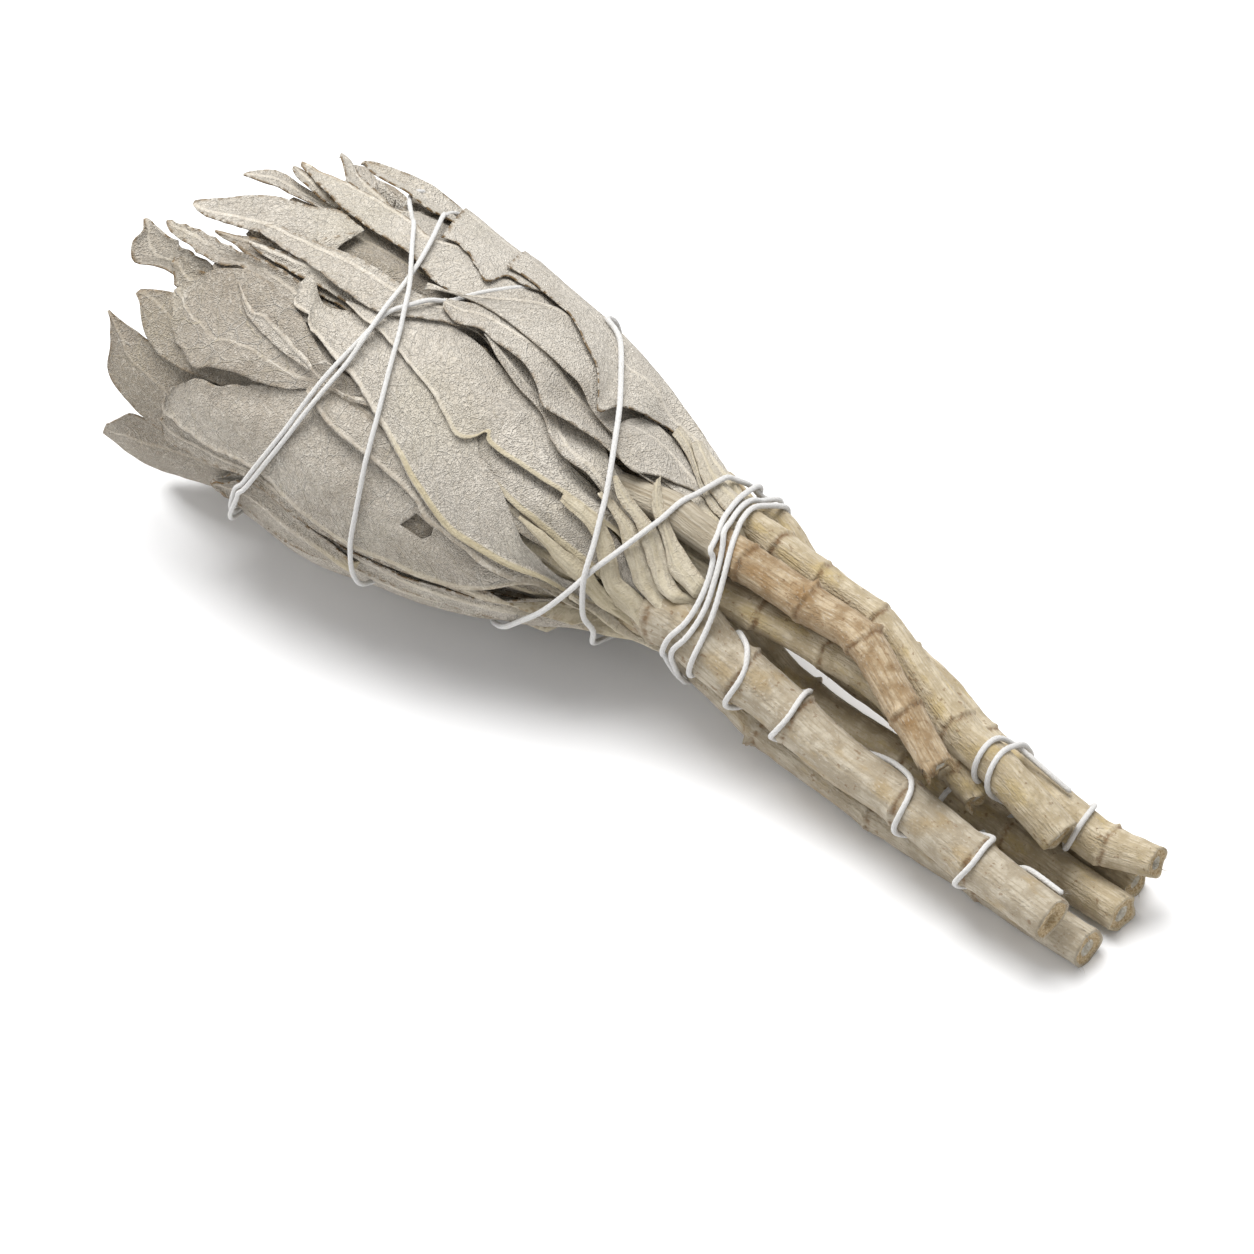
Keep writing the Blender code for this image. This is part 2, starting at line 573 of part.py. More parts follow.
def fuse(name, pieces, finish):
    """One object from overlapping pieces, by a union of the first with a collection of the rest."""
    body = object_of(name, pieces[0], finish)
    others = bpy.data.collections.new(name + "_leaves")
    bpy.context.scene.collection.children.link(others)
    for bm in pieces[1:]:
        leaf = object_of(name + "_leaf", bm, finish)
        bpy.context.scene.collection.objects.unlink(leaf)
        others.objects.link(leaf)
    union = body.modifiers.new("leaves", "BOOLEAN")
    union.operation = "UNION"
    union.operand_type = "COLLECTION"
    union.collection = others
    union.solver = "MANIFOLD"
    with bpy.context.temp_override(object=body, active_object=body, selected_objects=[body]):
        bpy.ops.object.modifier_apply(modifier=union.name)
    for leaf in list(others.objects):
        bpy.data.objects.remove(leaf)
    bpy.data.collections.remove(others)
    return body


def make_leafy_stems():
    rng = random.Random(SEED)
    pieces = {}
    for name in STEMS:
        pieces[name] = [bmesh.new()]
        make_stem(pieces[name][0], name)
    depths = Depths()
    for leaf in all_leaves(rng):
        bm = bmesh.new()
        make_leaf(bm, leaf, depths, rng)
        pieces[leaf.stem].append(bm)
    for name, stem in STEMS.items():
        fuse("leafy_stem_" + name, pieces[name], material("sage_" + name, COLOURS[stem.colour]))
    return depths


def make_string(depths):
    bm = bmesh.new()
    path = string_path(depths)
    add_tube(bm, path, [STRING_RADIUS] * len(path), STRING_SIDES, frames_along(path))
    object_of("cotton_string", bm, material("string", COLOURS["string"]))


def main():
    for thing in list(bpy.data.objects):
        bpy.data.objects.remove(thing)
    make_string(make_leafy_stems())


main()
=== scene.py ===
"""The looks of a smudge stick: leafy stems of dried white sage, bound with one cotton string.

Places in the bundle are given as in the solid model: s is the distance in mm from the leaf tips, psi the
angle in degrees round the centre line, from the side that leans 33 degrees from up towards -Y, and depth
the distance in mm below the bundle's outer surface. Leaves are laid from the outermost one inwards.
"""

import math
import random
from collections import namedtuple

import bmesh
import bpy
import numpy as np
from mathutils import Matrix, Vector


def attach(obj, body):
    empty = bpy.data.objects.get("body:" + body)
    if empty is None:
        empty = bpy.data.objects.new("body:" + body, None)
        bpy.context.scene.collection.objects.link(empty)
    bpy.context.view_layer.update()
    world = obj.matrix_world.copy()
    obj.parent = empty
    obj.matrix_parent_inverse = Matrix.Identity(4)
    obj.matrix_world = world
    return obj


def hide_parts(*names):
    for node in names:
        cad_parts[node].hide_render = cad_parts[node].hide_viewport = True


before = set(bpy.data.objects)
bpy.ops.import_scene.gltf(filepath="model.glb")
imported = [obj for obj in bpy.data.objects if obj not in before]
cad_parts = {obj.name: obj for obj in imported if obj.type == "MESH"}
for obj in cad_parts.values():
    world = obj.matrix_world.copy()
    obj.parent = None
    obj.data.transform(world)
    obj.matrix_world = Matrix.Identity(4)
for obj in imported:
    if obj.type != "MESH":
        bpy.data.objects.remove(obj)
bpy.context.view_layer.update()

MM = 0.001
SHIFT_X = -102.8
LEAN = 33.0
# A degree round the bundle is about this many mm on its surface.
DEGREE = 0.5
SEED = 41

# The camera stands at the photograph's angle. Its picture, turned so that the bundle is level, is where
# the outlines below were traced, in dots of which 5.85 make a mm, from this place on.
AZIMUTH, ELEVATION = 39.3, 50.0
DOTS = 5.85
ALONG_START, DOWN_START = 360.4, 215.0
ALONG = (0.9135, 0.2211, -0.342)
SILHOUETTE = 84.0
TRACING_ROUNDS, TRACING_SHARE = 60, 0.7

# The bundle's centre line (s, y, z) and radius (s, radius), how wide and high it is for that radius, and
# how high its underside stays above the floor (s, z).
CENTRE_KNOTS = [
    (-10, 0.0, 28.5), (45, 0.0, 28.5), (71, 0.8, 27.8), (87, 2.5, 26.6),
    (100, 4.6, 25.0), (110, 6.1, 23.5), (120, 5.6, 21.4), (132, 4.5, 19.2),
]
RADIUS_KNOTS = [
    (-10, 30.0), (0, 30.8), (17, 32.0), (32, 32.5), (45, 32.2), (56, 31.2),
    (71, 28.3), (87, 23.9), (100, 20.3), (110, 18.1), (120, 16.0), (132, 14.7),
]
WIDE, HIGH = 1.04, 0.90
FLOOR_KNOTS = [(-10, 2.4), (35, 2.4), (42, 0.0), (54, 0.0), (61, 2.4), (132, 2.4)]
LOWEST = 0.2
# The stems' ridges are pressed flat this high above the floor.
PRESSED = 0.05

# A stem: where it lies in the head (psi), its colour, the s of its ring nodes, and its points outside
# the head (s, y, z, radius) from the neck to its cut end.
Stem = namedtuple("Stem", "psi colour nodes points")
STEMS = {
    "front": Stem(70, "pale", (109, 126, 138, 163, 179), [
        (112, -5.05, 24.4, 5.7), (122, -5.65, 21.1, 5.0), (132, -5.0, 18.4, 4.6), (148, -6.35, 15.75, 4.1),
        (164, -6.85, 15.05, 4.1), (180, -8.1, 13.4, 4.15), (197, -9.2, 12.6, 4.0),
    ]),
    "under": Stem(114, "pale", (129, 155, 178), [
        (112, -1.6, 11.4, 3.7), (122, -2.3, 8.9, 3.7), (132, -3.0, 6.4, 3.7), (148, -3.3, 4.6, 3.8),
        (164, -3.6, 4.0, 3.8), (178, -4.0, 4.1, 3.8), (186, -4.1, 3.58, 3.8), (193, -4.2, 3.58, 3.8),
        (201, -4.3, 3.58, 3.8),
    ]),
    "low": Stem(160, "tan", (133, 153, 175), [
        (112, 7.1, 15.0, 4.1), (122, 5.4, 12.6, 3.5), (132, 4.1, 10.5, 3.3), (150, 5.0, 8.0, 3.3),
        (168, 5.6, 5.7, 3.4), (186, 5.4, 3.9, 3.6), (201, 5.0, 3.8, 3.6),
    ]),
    "back": Stem(212, "tan", (126, 148, 172), [
        (112, 13.2, 20.6, 3.8), (122, 11.8, 17.6, 3.0), (132, 10.6, 14.2, 2.7), (150, 11.8, 10.2, 2.7),
        (168, 12.5, 5.4, 2.8), (184, 12.7, 3.0, 2.9), (198, 12.6, 3.0, 2.9),
    ]),
    "crook": Stem(256, "tan", (124, 145, 164, 193), [
        (112, 20.2, 27.2, 2.6), (122, 17.4, 23.2, 3.0), (132, 15.6, 20.8, 3.3), (143, 15.2, 19.9, 3.4),
        (154, 14.2, 18.4, 3.5), (165, 11.6, 16.0, 3.6), (178, 10.9, 13.4, 3.8), (187, 10.5, 11.5, 3.9),
        (193, 10.6, 10.8, 3.6), (203, 11.7, 12.6, 2.8),
    ]),
    "top": Stem(291, "tan", (119, 128, 141, 163), [
        (112, 13.1, 32.6, 2.9), (122, 13.0, 31.4, 2.9), (132, 13.0, 30.2, 2.9), (142, 12.8, 29.0, 3.0),
        (154, 9.2, 25.5, 3.4), (165, 6.2, 22.9, 3.5), (174, 5.4, 21.0, 3.6), (188, 4.2, 15.4, 3.7),
    ]),
    "broken": Stem(331, "brown", (118, 131, 143, 157), [
        (102, 4.2, 37.4, 3.3), (107, 4.6, 36.2, 3.3), (112, 5.3, 34.6, 3.2), (122, 5.8, 33.2, 3.2),
        (132, 6.2, 31.9, 3.1), (143, 6.3, 31.3, 3.1),
        (154, 2.2, 28.4, 2.9), (167, -2.8, 24.0, 2.8),
    ]),
    "middle": Stem(22, "tan", (122, 136, 151, 166), [
        (112, 1.7, 26.4, 3.5), (122, 3.6, 25.3, 3.4), (132, 5.2, 24.2, 3.3), (146, 6.4, 22.4, 3.2),
        (160, 4.4, 19.6, 3.1), (172, 2.0, 15.4, 3.1),
    ]),
}
HEAD_POINTS = [(44, 12.5, 0.42), (58, 12.5, 0.5), (74, 12.2, 0.6), (88, 11.4, 0.72), (100, 10.8, 0.88)]
NODE_LENGTH, NODE_SWELL = 2.2, 0.13

# Leaves, in mm: thickness, the depth from one leaf to the next below it, the depth of the outermost, how
# far a free edge may stand out, and the size of one step of the fine grid that a leaf is worked out on.
BLADE_THICK = 0.26
PITCH = 0.37
FIRST_DEPTH = 0.3
FREE_RISE = 0.9
STEP_ALONG = 0.9
COLUMNS = 33
PETIOLE_ROWS = 10
PETIOLE_LENGTH, HEART_PETIOLE = 9.0, 15.3
PETIOLE_ARCH = 0.7
LAST_FOOT, FOOT_DEPTH = 115.0, 6.0
# How far a leaf's sinking below the others is spread, in grid steps along and across.
REACH = (6, 6)
# Where the heap of leaves stands out further than its round shape, or less far (below 0): the s and psi of
# the middle, how far that reaches in mm and degrees, and the height in mm.
SWELLINGS = [(30, -86, 24, 28, 2.4), (74, -86, 17, 28, 2.1), (12, 98, 15, 26, 2.7), (30, 106, 6.5, 34, -3.4)]
# How much deeper the petioles lie where they come together at the neck.
NECK_SINK = [(-14, 0.0), (90, 0.0), (97, 0.8), (104, 2.3), (110, 3.2), (134, 3.2)]
# The string presses the leaves in by this much, over this width.
PRESS, PRESS_WIDTH = 0.35, 2.2
# A leaf's shape, in mm, and along its length as a share that is 0 at the petiole and 1 at the tip: where its
# edge begins to wave, how high and long the waves are, how long the breaks of a ragged edge are and where
# they begin, how high and long the blade's swells and puckers are, and how wide a fold and a curled edge.
BLADE_FROM, BLADE_EASE = 0.12, 0.15
EDGE_WAVES = [(0.2, 13), (0.07, 4.2)]
BREAK_LENGTH, BREAKS_FROM, BREAKS_EASE = 5, 0.6, 0.3
SWELL, SWELL_LENGTH, PUCKER, PUCKER_LENGTH = 0.12, 20, 0.035, 3.5
FOLD_WIDTH, CURL_WIDTH, CURL_RISE, CURL_LENGTH = 1.6, 0.9, 0.45, 14
# Half the midrib's width at the tip and how much more it is at the petiole, plain and bold, and its height.
RIB_TIP, RIB_ROOT, RIB_BOLD = 0.3, 0.35, 0.65
RIDGE_TIP, RIDGE_ROOT = 0.16, 0.45

# Leaves seen from the camera side, outermost first: stem, upper edge and lower edge from the petiole to
# the tip, as traced dots (along, down), and looks. rib is where the midrib lies, from -1 at the lower
# edge to 1 at the upper one, bold how wide and yellow it is, lift the mm by which the lower and upper edges
# curl out, tone how much lighter (above 0) or browner (below 0) the leaf is, brown how much its rim is
# browned, ragged the mm of its broken edge, veins how clear its veins are, fold the depth of a crease along
# the midrib, band the height of a rounded petiole, sink how much deeper it lies, and hole a torn hole.
PLAIN = dict(rib=0.0, lift=(0.3, 0.3), tone=0.0, brown=0.3, bold=0.3, ragged=0.15, veins=0.5, fold=0.0,
             band=0.0, sink=0.0, hole=None)
TRACED = [
    ("broken", [(905, 117), (883, 109), (865, 101), (843, 86), (820, 62), (813, 51)],
     [(905, 138), (890, 134), (872, 129), (852, 108), (839, 97), (822, 84), (811, 64)],
     dict(band=0.6, brown=0.3, bold=0.4)),
    ("middle", [(892, 140), (884, 137), (872, 129), (856, 112), (839, 100), (817, 92), (798, 83),
     (776, 74)],
     [(892, 152), (884, 152), (872, 150), (852, 134), (830, 114), (812, 103), (790, 96), (772, 80)],
     dict(band=0.5, brown=0.3, bold=0.3)),
    ("middle", [(890, 156), (882, 155), (872, 150), (852, 134), (830, 114), (810, 105), (788, 99),
     (770, 96)],
     [(890, 166), (882, 165), (870, 164), (852, 158), (835, 144), (815, 124), (798, 113), (772, 103)],
     dict(band=0.5, brown=0.3, bold=0.4)),
    ("front", [(890, 186), (880, 182), (865, 167), (839, 160), (822, 146), (802, 127), (780, 119),
     (740, 116)],
     [(890, 192), (880, 189), (856, 188), (839, 183), (822, 171), (804, 152), (782, 134), (740, 127)],
     dict(band=0.6, brown=0.2, bold=0.7)),
    ("front", [(890, 189), (880, 186), (850, 183), (817, 174), (800, 168), (750, 163), (715, 158)],
     [(890, 197), (880, 195), (850, 195), (820, 191), (800, 184), (750, 173), (715, 165)],
     dict(band=0.5, brown=0.2, bold=0.8)),
    ("front", [(925, 200), (885, 195), (850, 195), (830, 193), (800, 198)],
     [(925, 207), (885, 204), (850, 204), (830, 205), (800, 207)],
     dict(band=0.5, brown=0.2, bold=0.2)),
    # A rounded petiole sunk deep in the neck's hollow: its dark tone is painted shade for that hollow, on
    # top of the real shade of lying deep.
    ("middle", [(912, 86), (890, 86), (868, 84), (845, 82)],
     [(912, 124), (890, 122), (868, 120), (845, 112)],
     dict(band=0.8, brown=0.4, bold=0.4, sink=5.0, tone=-0.9)),
    ("top", [(905, 28), (885, 25), (872, 22), (856, 13), (843, 6), (828, -8)],
     [(905, 48), (885, 46), (870, 41), (850, 32), (839, 22), (820, 4)],
     dict(band=0.7, brown=0.3, bold=0.1)),
    ("top", [(905, 50), (885, 48), (870, 42), (850, 33), (839, 23), (822, 7), (802, -8)],
     [(905, 60), (885, 57), (870, 52), (850, 39), (839, 30), (822, 18), (800, 5)],
     dict(band=0.5, brown=0.3, bold=0.1)),
    ("top", [(880, 18), (840, -20), (770, -50), (700, -75), (640, -88), (590, -92), (570, -85)],
     [(884, 36), (850, 22), (800, 6), (760, 6), (740, 16), (727, 32), (715, 12), (700, -8), (680, -20),
      (650, -36), (600, -43), (571, -43)],
     dict(rib=0.2, lift=(0.4, 0.2), tone=0.45, brown=0.8, bold=0.1)),
    ("middle", [(884, 46), (860, 42), (820, 20), (790, 10), (765, 9), (750, 20)],
     [(884, 52), (850, 47), (815, 52), (800, 58), (785, 63), (765, 57), (750, 42)],
     dict(rib=0.3, lift=(0.7, 0.1), tone=0.1, brown=0.2)),
    ("top", [(872, 0), (800, -45), (700, -85), (600, -100), (540, -95), (498, -85)],
     [(876, 12), (760, -25), (650, -45), (600, -38), (577, -37), (562, -20), (545, -28), (525, -37),
      (513, -38), (500, -33)],
     dict(rib=0.6, lift=(0.45, 0.0), tone=0.3, brown=1.0, ragged=0.5, bold=0.0)),
    ("broken", [(884, 58), (800, 14), (727, -18), (700, -29), (650, -35), (600, -22), (565, -3), (540, 8),
     (514, 14)],
     [(886, 66), (800, 52), (727, 33), (700, 19), (680, 14), (640, 6), (600, 2), (560, 4), (530, 12),
      (514, 22)],
     dict(rib=0.85, lift=(0.4, 0.3), tone=0.35, brown=0.2)),
    ("broken", [(876, 62), (760, 30), (700, 5), (640, -5), (580, 0), (535, 16)],
     [(880, 72), (760, 58), (710, 55), (678, 55), (665, 44), (655, 37), (640, 30), (600, 27), (585, 24),
      (560, 31), (540, 26)],
     dict(rib=0.2, lift=(0.7, 0.0), tone=0.15, brown=0.5)),
    ("broken", [(884, 76), (840, 92), (800, 84), (775, 72), (755, 60), (740, 52), (720, 40), (700, 25),
     (650, 12), (600, 20)],
     [(888, 90), (840, 106), (800, 103), (780, 98), (750, 88), (725, 87), (700, 77), (678, 61), (650, 53),
      (620, 42), (600, 33), (588, 29)],
     dict(rib=-0.6, lift=(0.5, 0.3), tone=0.15, brown=0.25)),
    ("top", [(866, -12), (700, -60), (600, -55), (500, -31), (470, -33), (440, -35), (400, -31), (380, -28),
     (355, -26), (340, -23)],
     [(870, -2), (700, -5), (600, 2), (530, 8), (500, 3), (470, -3), (440, -4), (400, -6), (370, -12),
      (350, -18), (341, -20)],
     dict(rib=0.8, lift=(0.5, 0.2), tone=0.4, brown=0.8, bold=0.1)),
    ("crook", [(866, -30), (760, -80), (650, -105), (560, -110), (500, -98), (475, -86), (450, -75),
     (425, -69), (400, -65), (391, -62)],
     [(870, -18), (700, -50), (600, -60), (495, -54), (475, -52), (450, -54), (425, -52), (405, -51),
      (397, -54), (390, -59)],
     dict(rib=0.25, lift=(0.2, 0.8), tone=0.2, brown=1.0, fold=1.4, bold=0.0)),
    ("top", [(856, -12), (600, -70), (500, -60), (450, -37), (425, -39), (400, -45), (380, -51),
     (368, -51)],
     [(860, 0), (600, -20), (460, -22), (420, -26), (400, -30), (390, -31), (382, -38), (368, -47)],
     dict(rib=0.5, lift=(0.5, 0.3), tone=0.1, brown=0.9, bold=0.0)),
    ("crook", [(850, -25), (600, -85), (490, -62), (466, -54), (456, -50)],
     [(856, -12), (600, -30), (490, -35), (455, -37), (450, -45)],
     dict(rib=0.0, lift=(0.2, 0.2), tone=-0.9, brown=1.0, ragged=0.5)),
    ("broken", [(870, 62), (700, 22), (600, 12), (520, 25), (460, 27), (430, 29), (400, 34), (380, 37),
     (352, 43), (347, 47)],
     [(874, 76), (700, 42), (620, 35), (583, 25), (560, 32), (545, 37), (530, 44), (500, 60), (480, 66),
      (460, 67), (430, 63), (400, 60), (365, 60), (345, 60), (340, 57)],
     dict(rib=0.5, lift=(0.8, 0.2), tone=0.2, brown=0.5, bold=0.0)),
    ("middle", [(890, 150), (840, 112), (770, 98), (730, 90), (700, 77), (680, 63), (640, 52), (600, 42),
     (560, 37), (530, 40), (505, 50), (480, 62), (458, 68)],
     [(892, 160), (862, 142), (800, 123), (700, 118), (652, 116), (644, 108), (636, 121), (622, 127),
      (600, 116), (575, 105), (545, 92), (500, 80), (470, 76), (456, 72)],
     dict(rib=-0.96, lift=(0.35, 0.0), tone=0.25, brown=0.1, bold=0.75)),
    ("front", [(896, 182), (850, 185), (800, 188), (780, 192), (755, 185), (735, 180), (715, 168),
     (700, 158), (680, 145), (650, 130), (630, 110), (600, 95), (550, 78), (500, 70), (474, 74), (450, 82),
     (440, 85), (426, 78), (413, 66), (405, 80)],
     [(900, 192), (850, 189), (810, 198), (760, 204), (720, 211), (680, 213), (640, 204), (600, 186),
      (550, 157), (535, 150), (500, 133), (480, 127), (455, 118), (435, 112), (432, 104), (414, 104),
      (410, 93)],
     dict(rib=-0.9, lift=(0.55, 0.2), tone=0.25, brown=0.25, bold=1.0, ragged=0.3)),
    ("middle", [(893, 166), (860, 150), (800, 120), (700, 112), (620, 100), (560, 96)],
     [(895, 178), (870, 174), (800, 168), (760, 164), (720, 158), (700, 155), (650, 140), (600, 125),
      (560, 110)],
     dict(rib=-0.85, lift=(0.4, 0.1), tone=0.05, brown=0.2, bold=0.8)),
    ("middle", [(800, 160), (600, 130), (500, 150), (468, 147), (455, 140), (420, 128), (395, 122),
     (385, 127), (370, 121), (352, 109)],
     [(800, 170), (600, 150), (500, 152), (465, 151), (430, 148), (395, 141), (375, 132), (360, 119),
      (352, 112)],
     dict(rib=0.6, lift=(0.1, 0.9), tone=-0.2, brown=0.3)),
    ("front", [(860, 188), (760, 200), (700, 202), (640, 192), (600, 172), (560, 160), (500, 155),
     (470, 158)],
     [(864, 193), (800, 202), (700, 218), (640, 212), (615, 200), (560, 192), (520, 187), (500, 182),
      (485, 172), (470, 166)],
     dict(rib=-0.8, lift=(0.5, 0.0), tone=-0.4, brown=0.3)),
    ("middle", [(800, 165), (600, 140), (520, 135), (470, 130), (420, 104), (390, 96), (365, 94), (350, 97),
     (335, 105), (322, 117), (318, 127), (309, 140)],
     [(800, 180), (600, 175), (520, 165), (475, 165), (450, 178), (425, 186), (400, 191), (375, 199),
      (362, 208), (340, 200), (325, 192), (316, 180), (312, 172), (305, 165), (302, 152)],
     dict(rib=-0.35, lift=(0.45, 0.1), tone=-0.75, brown=0.3, bold=0.3, ragged=0.35, veins=0.9)),
    ("front", [(860, 193), (760, 205), (700, 205), (640, 200), (560, 178), (500, 162), (475, 163),
     (450, 175), (420, 190), (415, 195), (400, 203), (390, 211), (370, 213), (362, 222), (351, 236)],
     [(864, 198), (820, 203), (790, 208), (760, 225), (720, 245), (690, 258), (640, 267), (600, 275),
      (540, 277), (500, 270), (475, 263), (440, 265), (410, 268), (365, 262), (355, 258), (351, 246)],
     dict(rib=-0.93, lift=(0.6, 0.2), tone=-0.3, brown=0.35, bold=0.45, veins=0.8, ragged=0.5,
          hole=[(619, 231), (627, 213), (649, 216), (651, 224), (645, 232)])),
    ("middle", [(800, 150), (600, 110), (480, 92), (430, 84), (400, 78), (380, 79), (340, 82), (300, 86),
     (270, 92), (257, 96)],
     [(800, 165), (600, 130), (480, 115), (400, 108), (352, 99), (335, 106), (320, 110), (290, 108),
      (266, 105), (258, 101)],
     dict(rib=0.2, lift=(0.5, 0.7), tone=-0.3, brown=0.8, fold=0.5, ragged=0.5)),
    ("front", [(820, 205), (650, 250), (560, 262), (470, 258), (365, 258), (357, 262)],
     [(824, 215), (650, 268), (560, 280), (500, 276), (463, 271), (440, 277), (400, 283), (380, 284),
      (370, 283), (362, 270)],
     dict(rib=-0.2, lift=(0.4, 0.1), tone=-0.6, brown=0.6, ragged=0.3)),
    ("under", [(600, 288), (560, 284), (530, 280), (500, 274), (475, 272), (455, 279), (437, 290)],
     [(600, 296), (560, 302), (530, 304), (505, 304), (480, 300), (460, 298), (438, 295)],
     dict(rib=0.2, lift=(1.2, 0.9), tone=-0.8, brown=1.0, ragged=0.6, bold=0.2)),
    ("under", [(845, 206), (790, 234), (740, 250), (700, 261), (650, 272), (600, 279), (550, 281),
     (505, 277)],
     [(848, 212), (800, 240), (750, 258), (700, 273), (655, 284), (600, 292), (560, 296), (508, 289)],
     dict(rib=0.4, lift=(0.8, 0.1), tone=-0.3, brown=0.8, ragged=0.4, bold=0.4)),
    ("under", [(850, 208), (790, 240), (700, 268), (640, 280), (600, 284), (540, 286), (490, 292),
     (470, 294)],
     [(852, 218), (800, 250), (750, 266), (700, 286), (650, 300), (600, 312), (540, 322), (490, 314),
      (468, 303)],
     dict(rib=0.3, lift=(0.6, 0.3), tone=-0.5, brown=0.4)),
    ("under", [(840, 205), (800, 222), (640, 262), (560, 272), (505, 270), (470, 266), (452, 273),
     (436, 286)],
     [(842, 212), (800, 236), (640, 282), (560, 292), (508, 296), (480, 303), (450, 298), (434, 296)],
     dict(rib=0.0, lift=(1.0, 0.8), tone=-0.4, brown=0.8, ragged=0.6)),
    ("middle", [(600, 60), (480, 50), (420, 52), (395, 58), (380, 61), (365, 63), (350, 68), (342, 73)],
     [(600, 75), (480, 72), (420, 76), (395, 77), (375, 76), (360, 77), (347, 77), (341, 75)],
     dict(rib=0.3, lift=(0.6, 0.6), tone=0.5, brown=0.9, bold=0.0, fold=0.5)),
    ("broken", [(600, 40), (500, 40), (420, 42), (396, 36), (404, 28), (413, 18), (423, 9), (432, 1),
     (415, -1), (400, -2), (390, 1), (375, 8), (350, 15), (335, 19), (310, 35), (290, 50), (271, 66)],
     [(600, 55), (500, 60), (440, 61), (400, 62), (350, 60), (330, 65), (310, 70), (290, 75), (272, 72)],
     dict(rib=-0.5, lift=(0.2, 0.4), tone=0.1, brown=0.8, bold=0.0)),
    # A leaf sunk in the hollow under the outer leaves: its dark tone is painted shade for that hollow, on
    # top of the real shade of lying deeper.
    ("middle", [(700, -5), (600, -14), (500, -10), (450, -8), (410, -3), (385, 6)],
     [(700, 40), (600, 46), (500, 44), (450, 44), (410, 43), (388, 36)],
     dict(rib=0.3, lift=(0.2, 0.3), tone=-0.9, brown=0.9, bold=0.9, fold=0.6, sink=1.3)),
    # The three leaves lowest on the tip side: their dark brown tone is partly painted shade, for the
    # bundle's lower side that the key light hardly reaches.
    ("front", [(800, 175), (600, 165), (450, 160), (350, 160), (310, 155), (290, 160), (272, 170)],
     [(800, 190), (600, 200), (450, 205), (370, 214), (350, 216), (320, 215), (303, 206), (290, 195),
      (280, 182), (271, 176)],
     dict(rib=0.2, lift=(0.3, 0.2), tone=-1.3, brown=0.5, bold=0.2)),
    ("front", [(820, 200), (600, 200), (450, 200), (370, 205), (320, 207), (290, 207), (270, 204),
     (256, 202)],
     [(824, 212), (600, 250), (450, 270), (370, 283), (340, 281), (310, 268), (285, 255), (275, 235),
      (265, 215), (257, 207)],
     dict(rib=0.1, lift=(0.4, 0.2), tone=-1.4, brown=0.7, bold=0.2)),
    ("under", [(836, 205), (700, 245), (600, 258), (470, 264), (400, 262), (365, 270), (345, 280),
     (325, 290), (312, 303)],
     [(840, 220), (700, 262), (600, 285), (500, 292), (455, 297), (430, 308), (400, 318), (375, 322),
      (350, 320), (330, 317), (314, 308)],
     dict(rib=0.2, lift=(0.3, 0.2), tone=-1.2, brown=0.6, bold=0.2)),
    ("broken", [(850, 20), (600, -10), (430, -12), (390, -14), (360, -18), (345, -19), (335, -17)],
     [(854, 34), (600, 15), (430, 0), (400, -3), (375, -6), (345, -7), (336, -11)],
     dict(rib=0.2, lift=(0.5, 0.3), tone=0.0, brown=1.0, bold=0.0)),
    ("broken", [(846, 36), (600, -5), (450, -12), (400, -8), (360, -8), (345, -8), (330, -7), (315, -2),
     (305, 6), (297, 17)],
     [(850, 48), (600, 20), (450, 15), (400, 2), (385, 5), (372, 6), (350, 7), (330, 9), (315, 15),
      (299, 20)],
     dict(rib=0.0, lift=(0.4, 0.4), tone=0.2, brown=0.7, bold=0.0)),
    # Two leaves that fill the gaps between the leaves above them on the tip side: their dark tone is painted
    # shade for those gaps.
    ("middle", [(600, 60), (450, 50), (400, 50), (350, 62), (330, 70), (312, 77), (305, 80)],
     [(600, 80), (450, 78), (400, 84), (350, 84), (330, 83), (315, 83), (306, 83)],
     dict(rib=0.3, lift=(0.4, 0.4), tone=-0.9, brown=0.9, bold=0.0)),
    ("middle", [(800, 140), (600, 100), (450, 80), (380, 84), (345, 90), (322, 98)],
     [(800, 160), (600, 140), (450, 134), (380, 134), (345, 128), (322, 112)],
     dict(rib=0.3, lift=(0.4, 0.4), tone=-0.9, brown=0.8, bold=0.0)),
    ("top", [(600, -10), (450, -5), (400, 0), (375, 5), (362, 8), (352, 10), (350, 13)],
     [(600, 20), (450, 20), (400, 22), (375, 22), (362, 21), (352, 20), (350, 18)],
     dict(rib=0.3, lift=(0.4, 0.4), tone=-1.0, brown=1.0, bold=0.0)),
    ("middle", [(500, 110), (400, 112), (340, 118), (310, 121), (294, 119), (284, 124)],
     [(500, 130), (400, 136), (340, 142), (318, 150), (300, 147), (288, 137)],
     dict(rib=0.1, lift=(1.1, 0.8), tone=-0.9, brown=1.0, ragged=0.5, bold=0.0)),
    ("middle", [(800, 150), (600, 110), (450, 104), (350, 112), (320, 110), (285, 109), (258, 107),
     (242, 104)],
     [(800, 170), (600, 155), (450, 160), (330, 150), (290, 141), (270, 144), (252, 152), (244, 147),
      (239, 134), (244, 120), (239, 110)],
     dict(rib=-0.1, lift=(0.9, 1.1), tone=-0.3, brown=0.9, ragged=0.5)),
]
# The faces this many dots round a hole are cut along its outline.
TEAR_REACH = 32
# Layer and stem of the leaves that the traced ones stand for.
TRACED_FOR = {(layer, stem) for layer in range(5) for stem in ("middle", "front", "broken")}
TRACED_FOR |= {(5, "middle"), (5, "broken"), (0, "top"), (0, "under"), (1, "top"), (1, "under")}

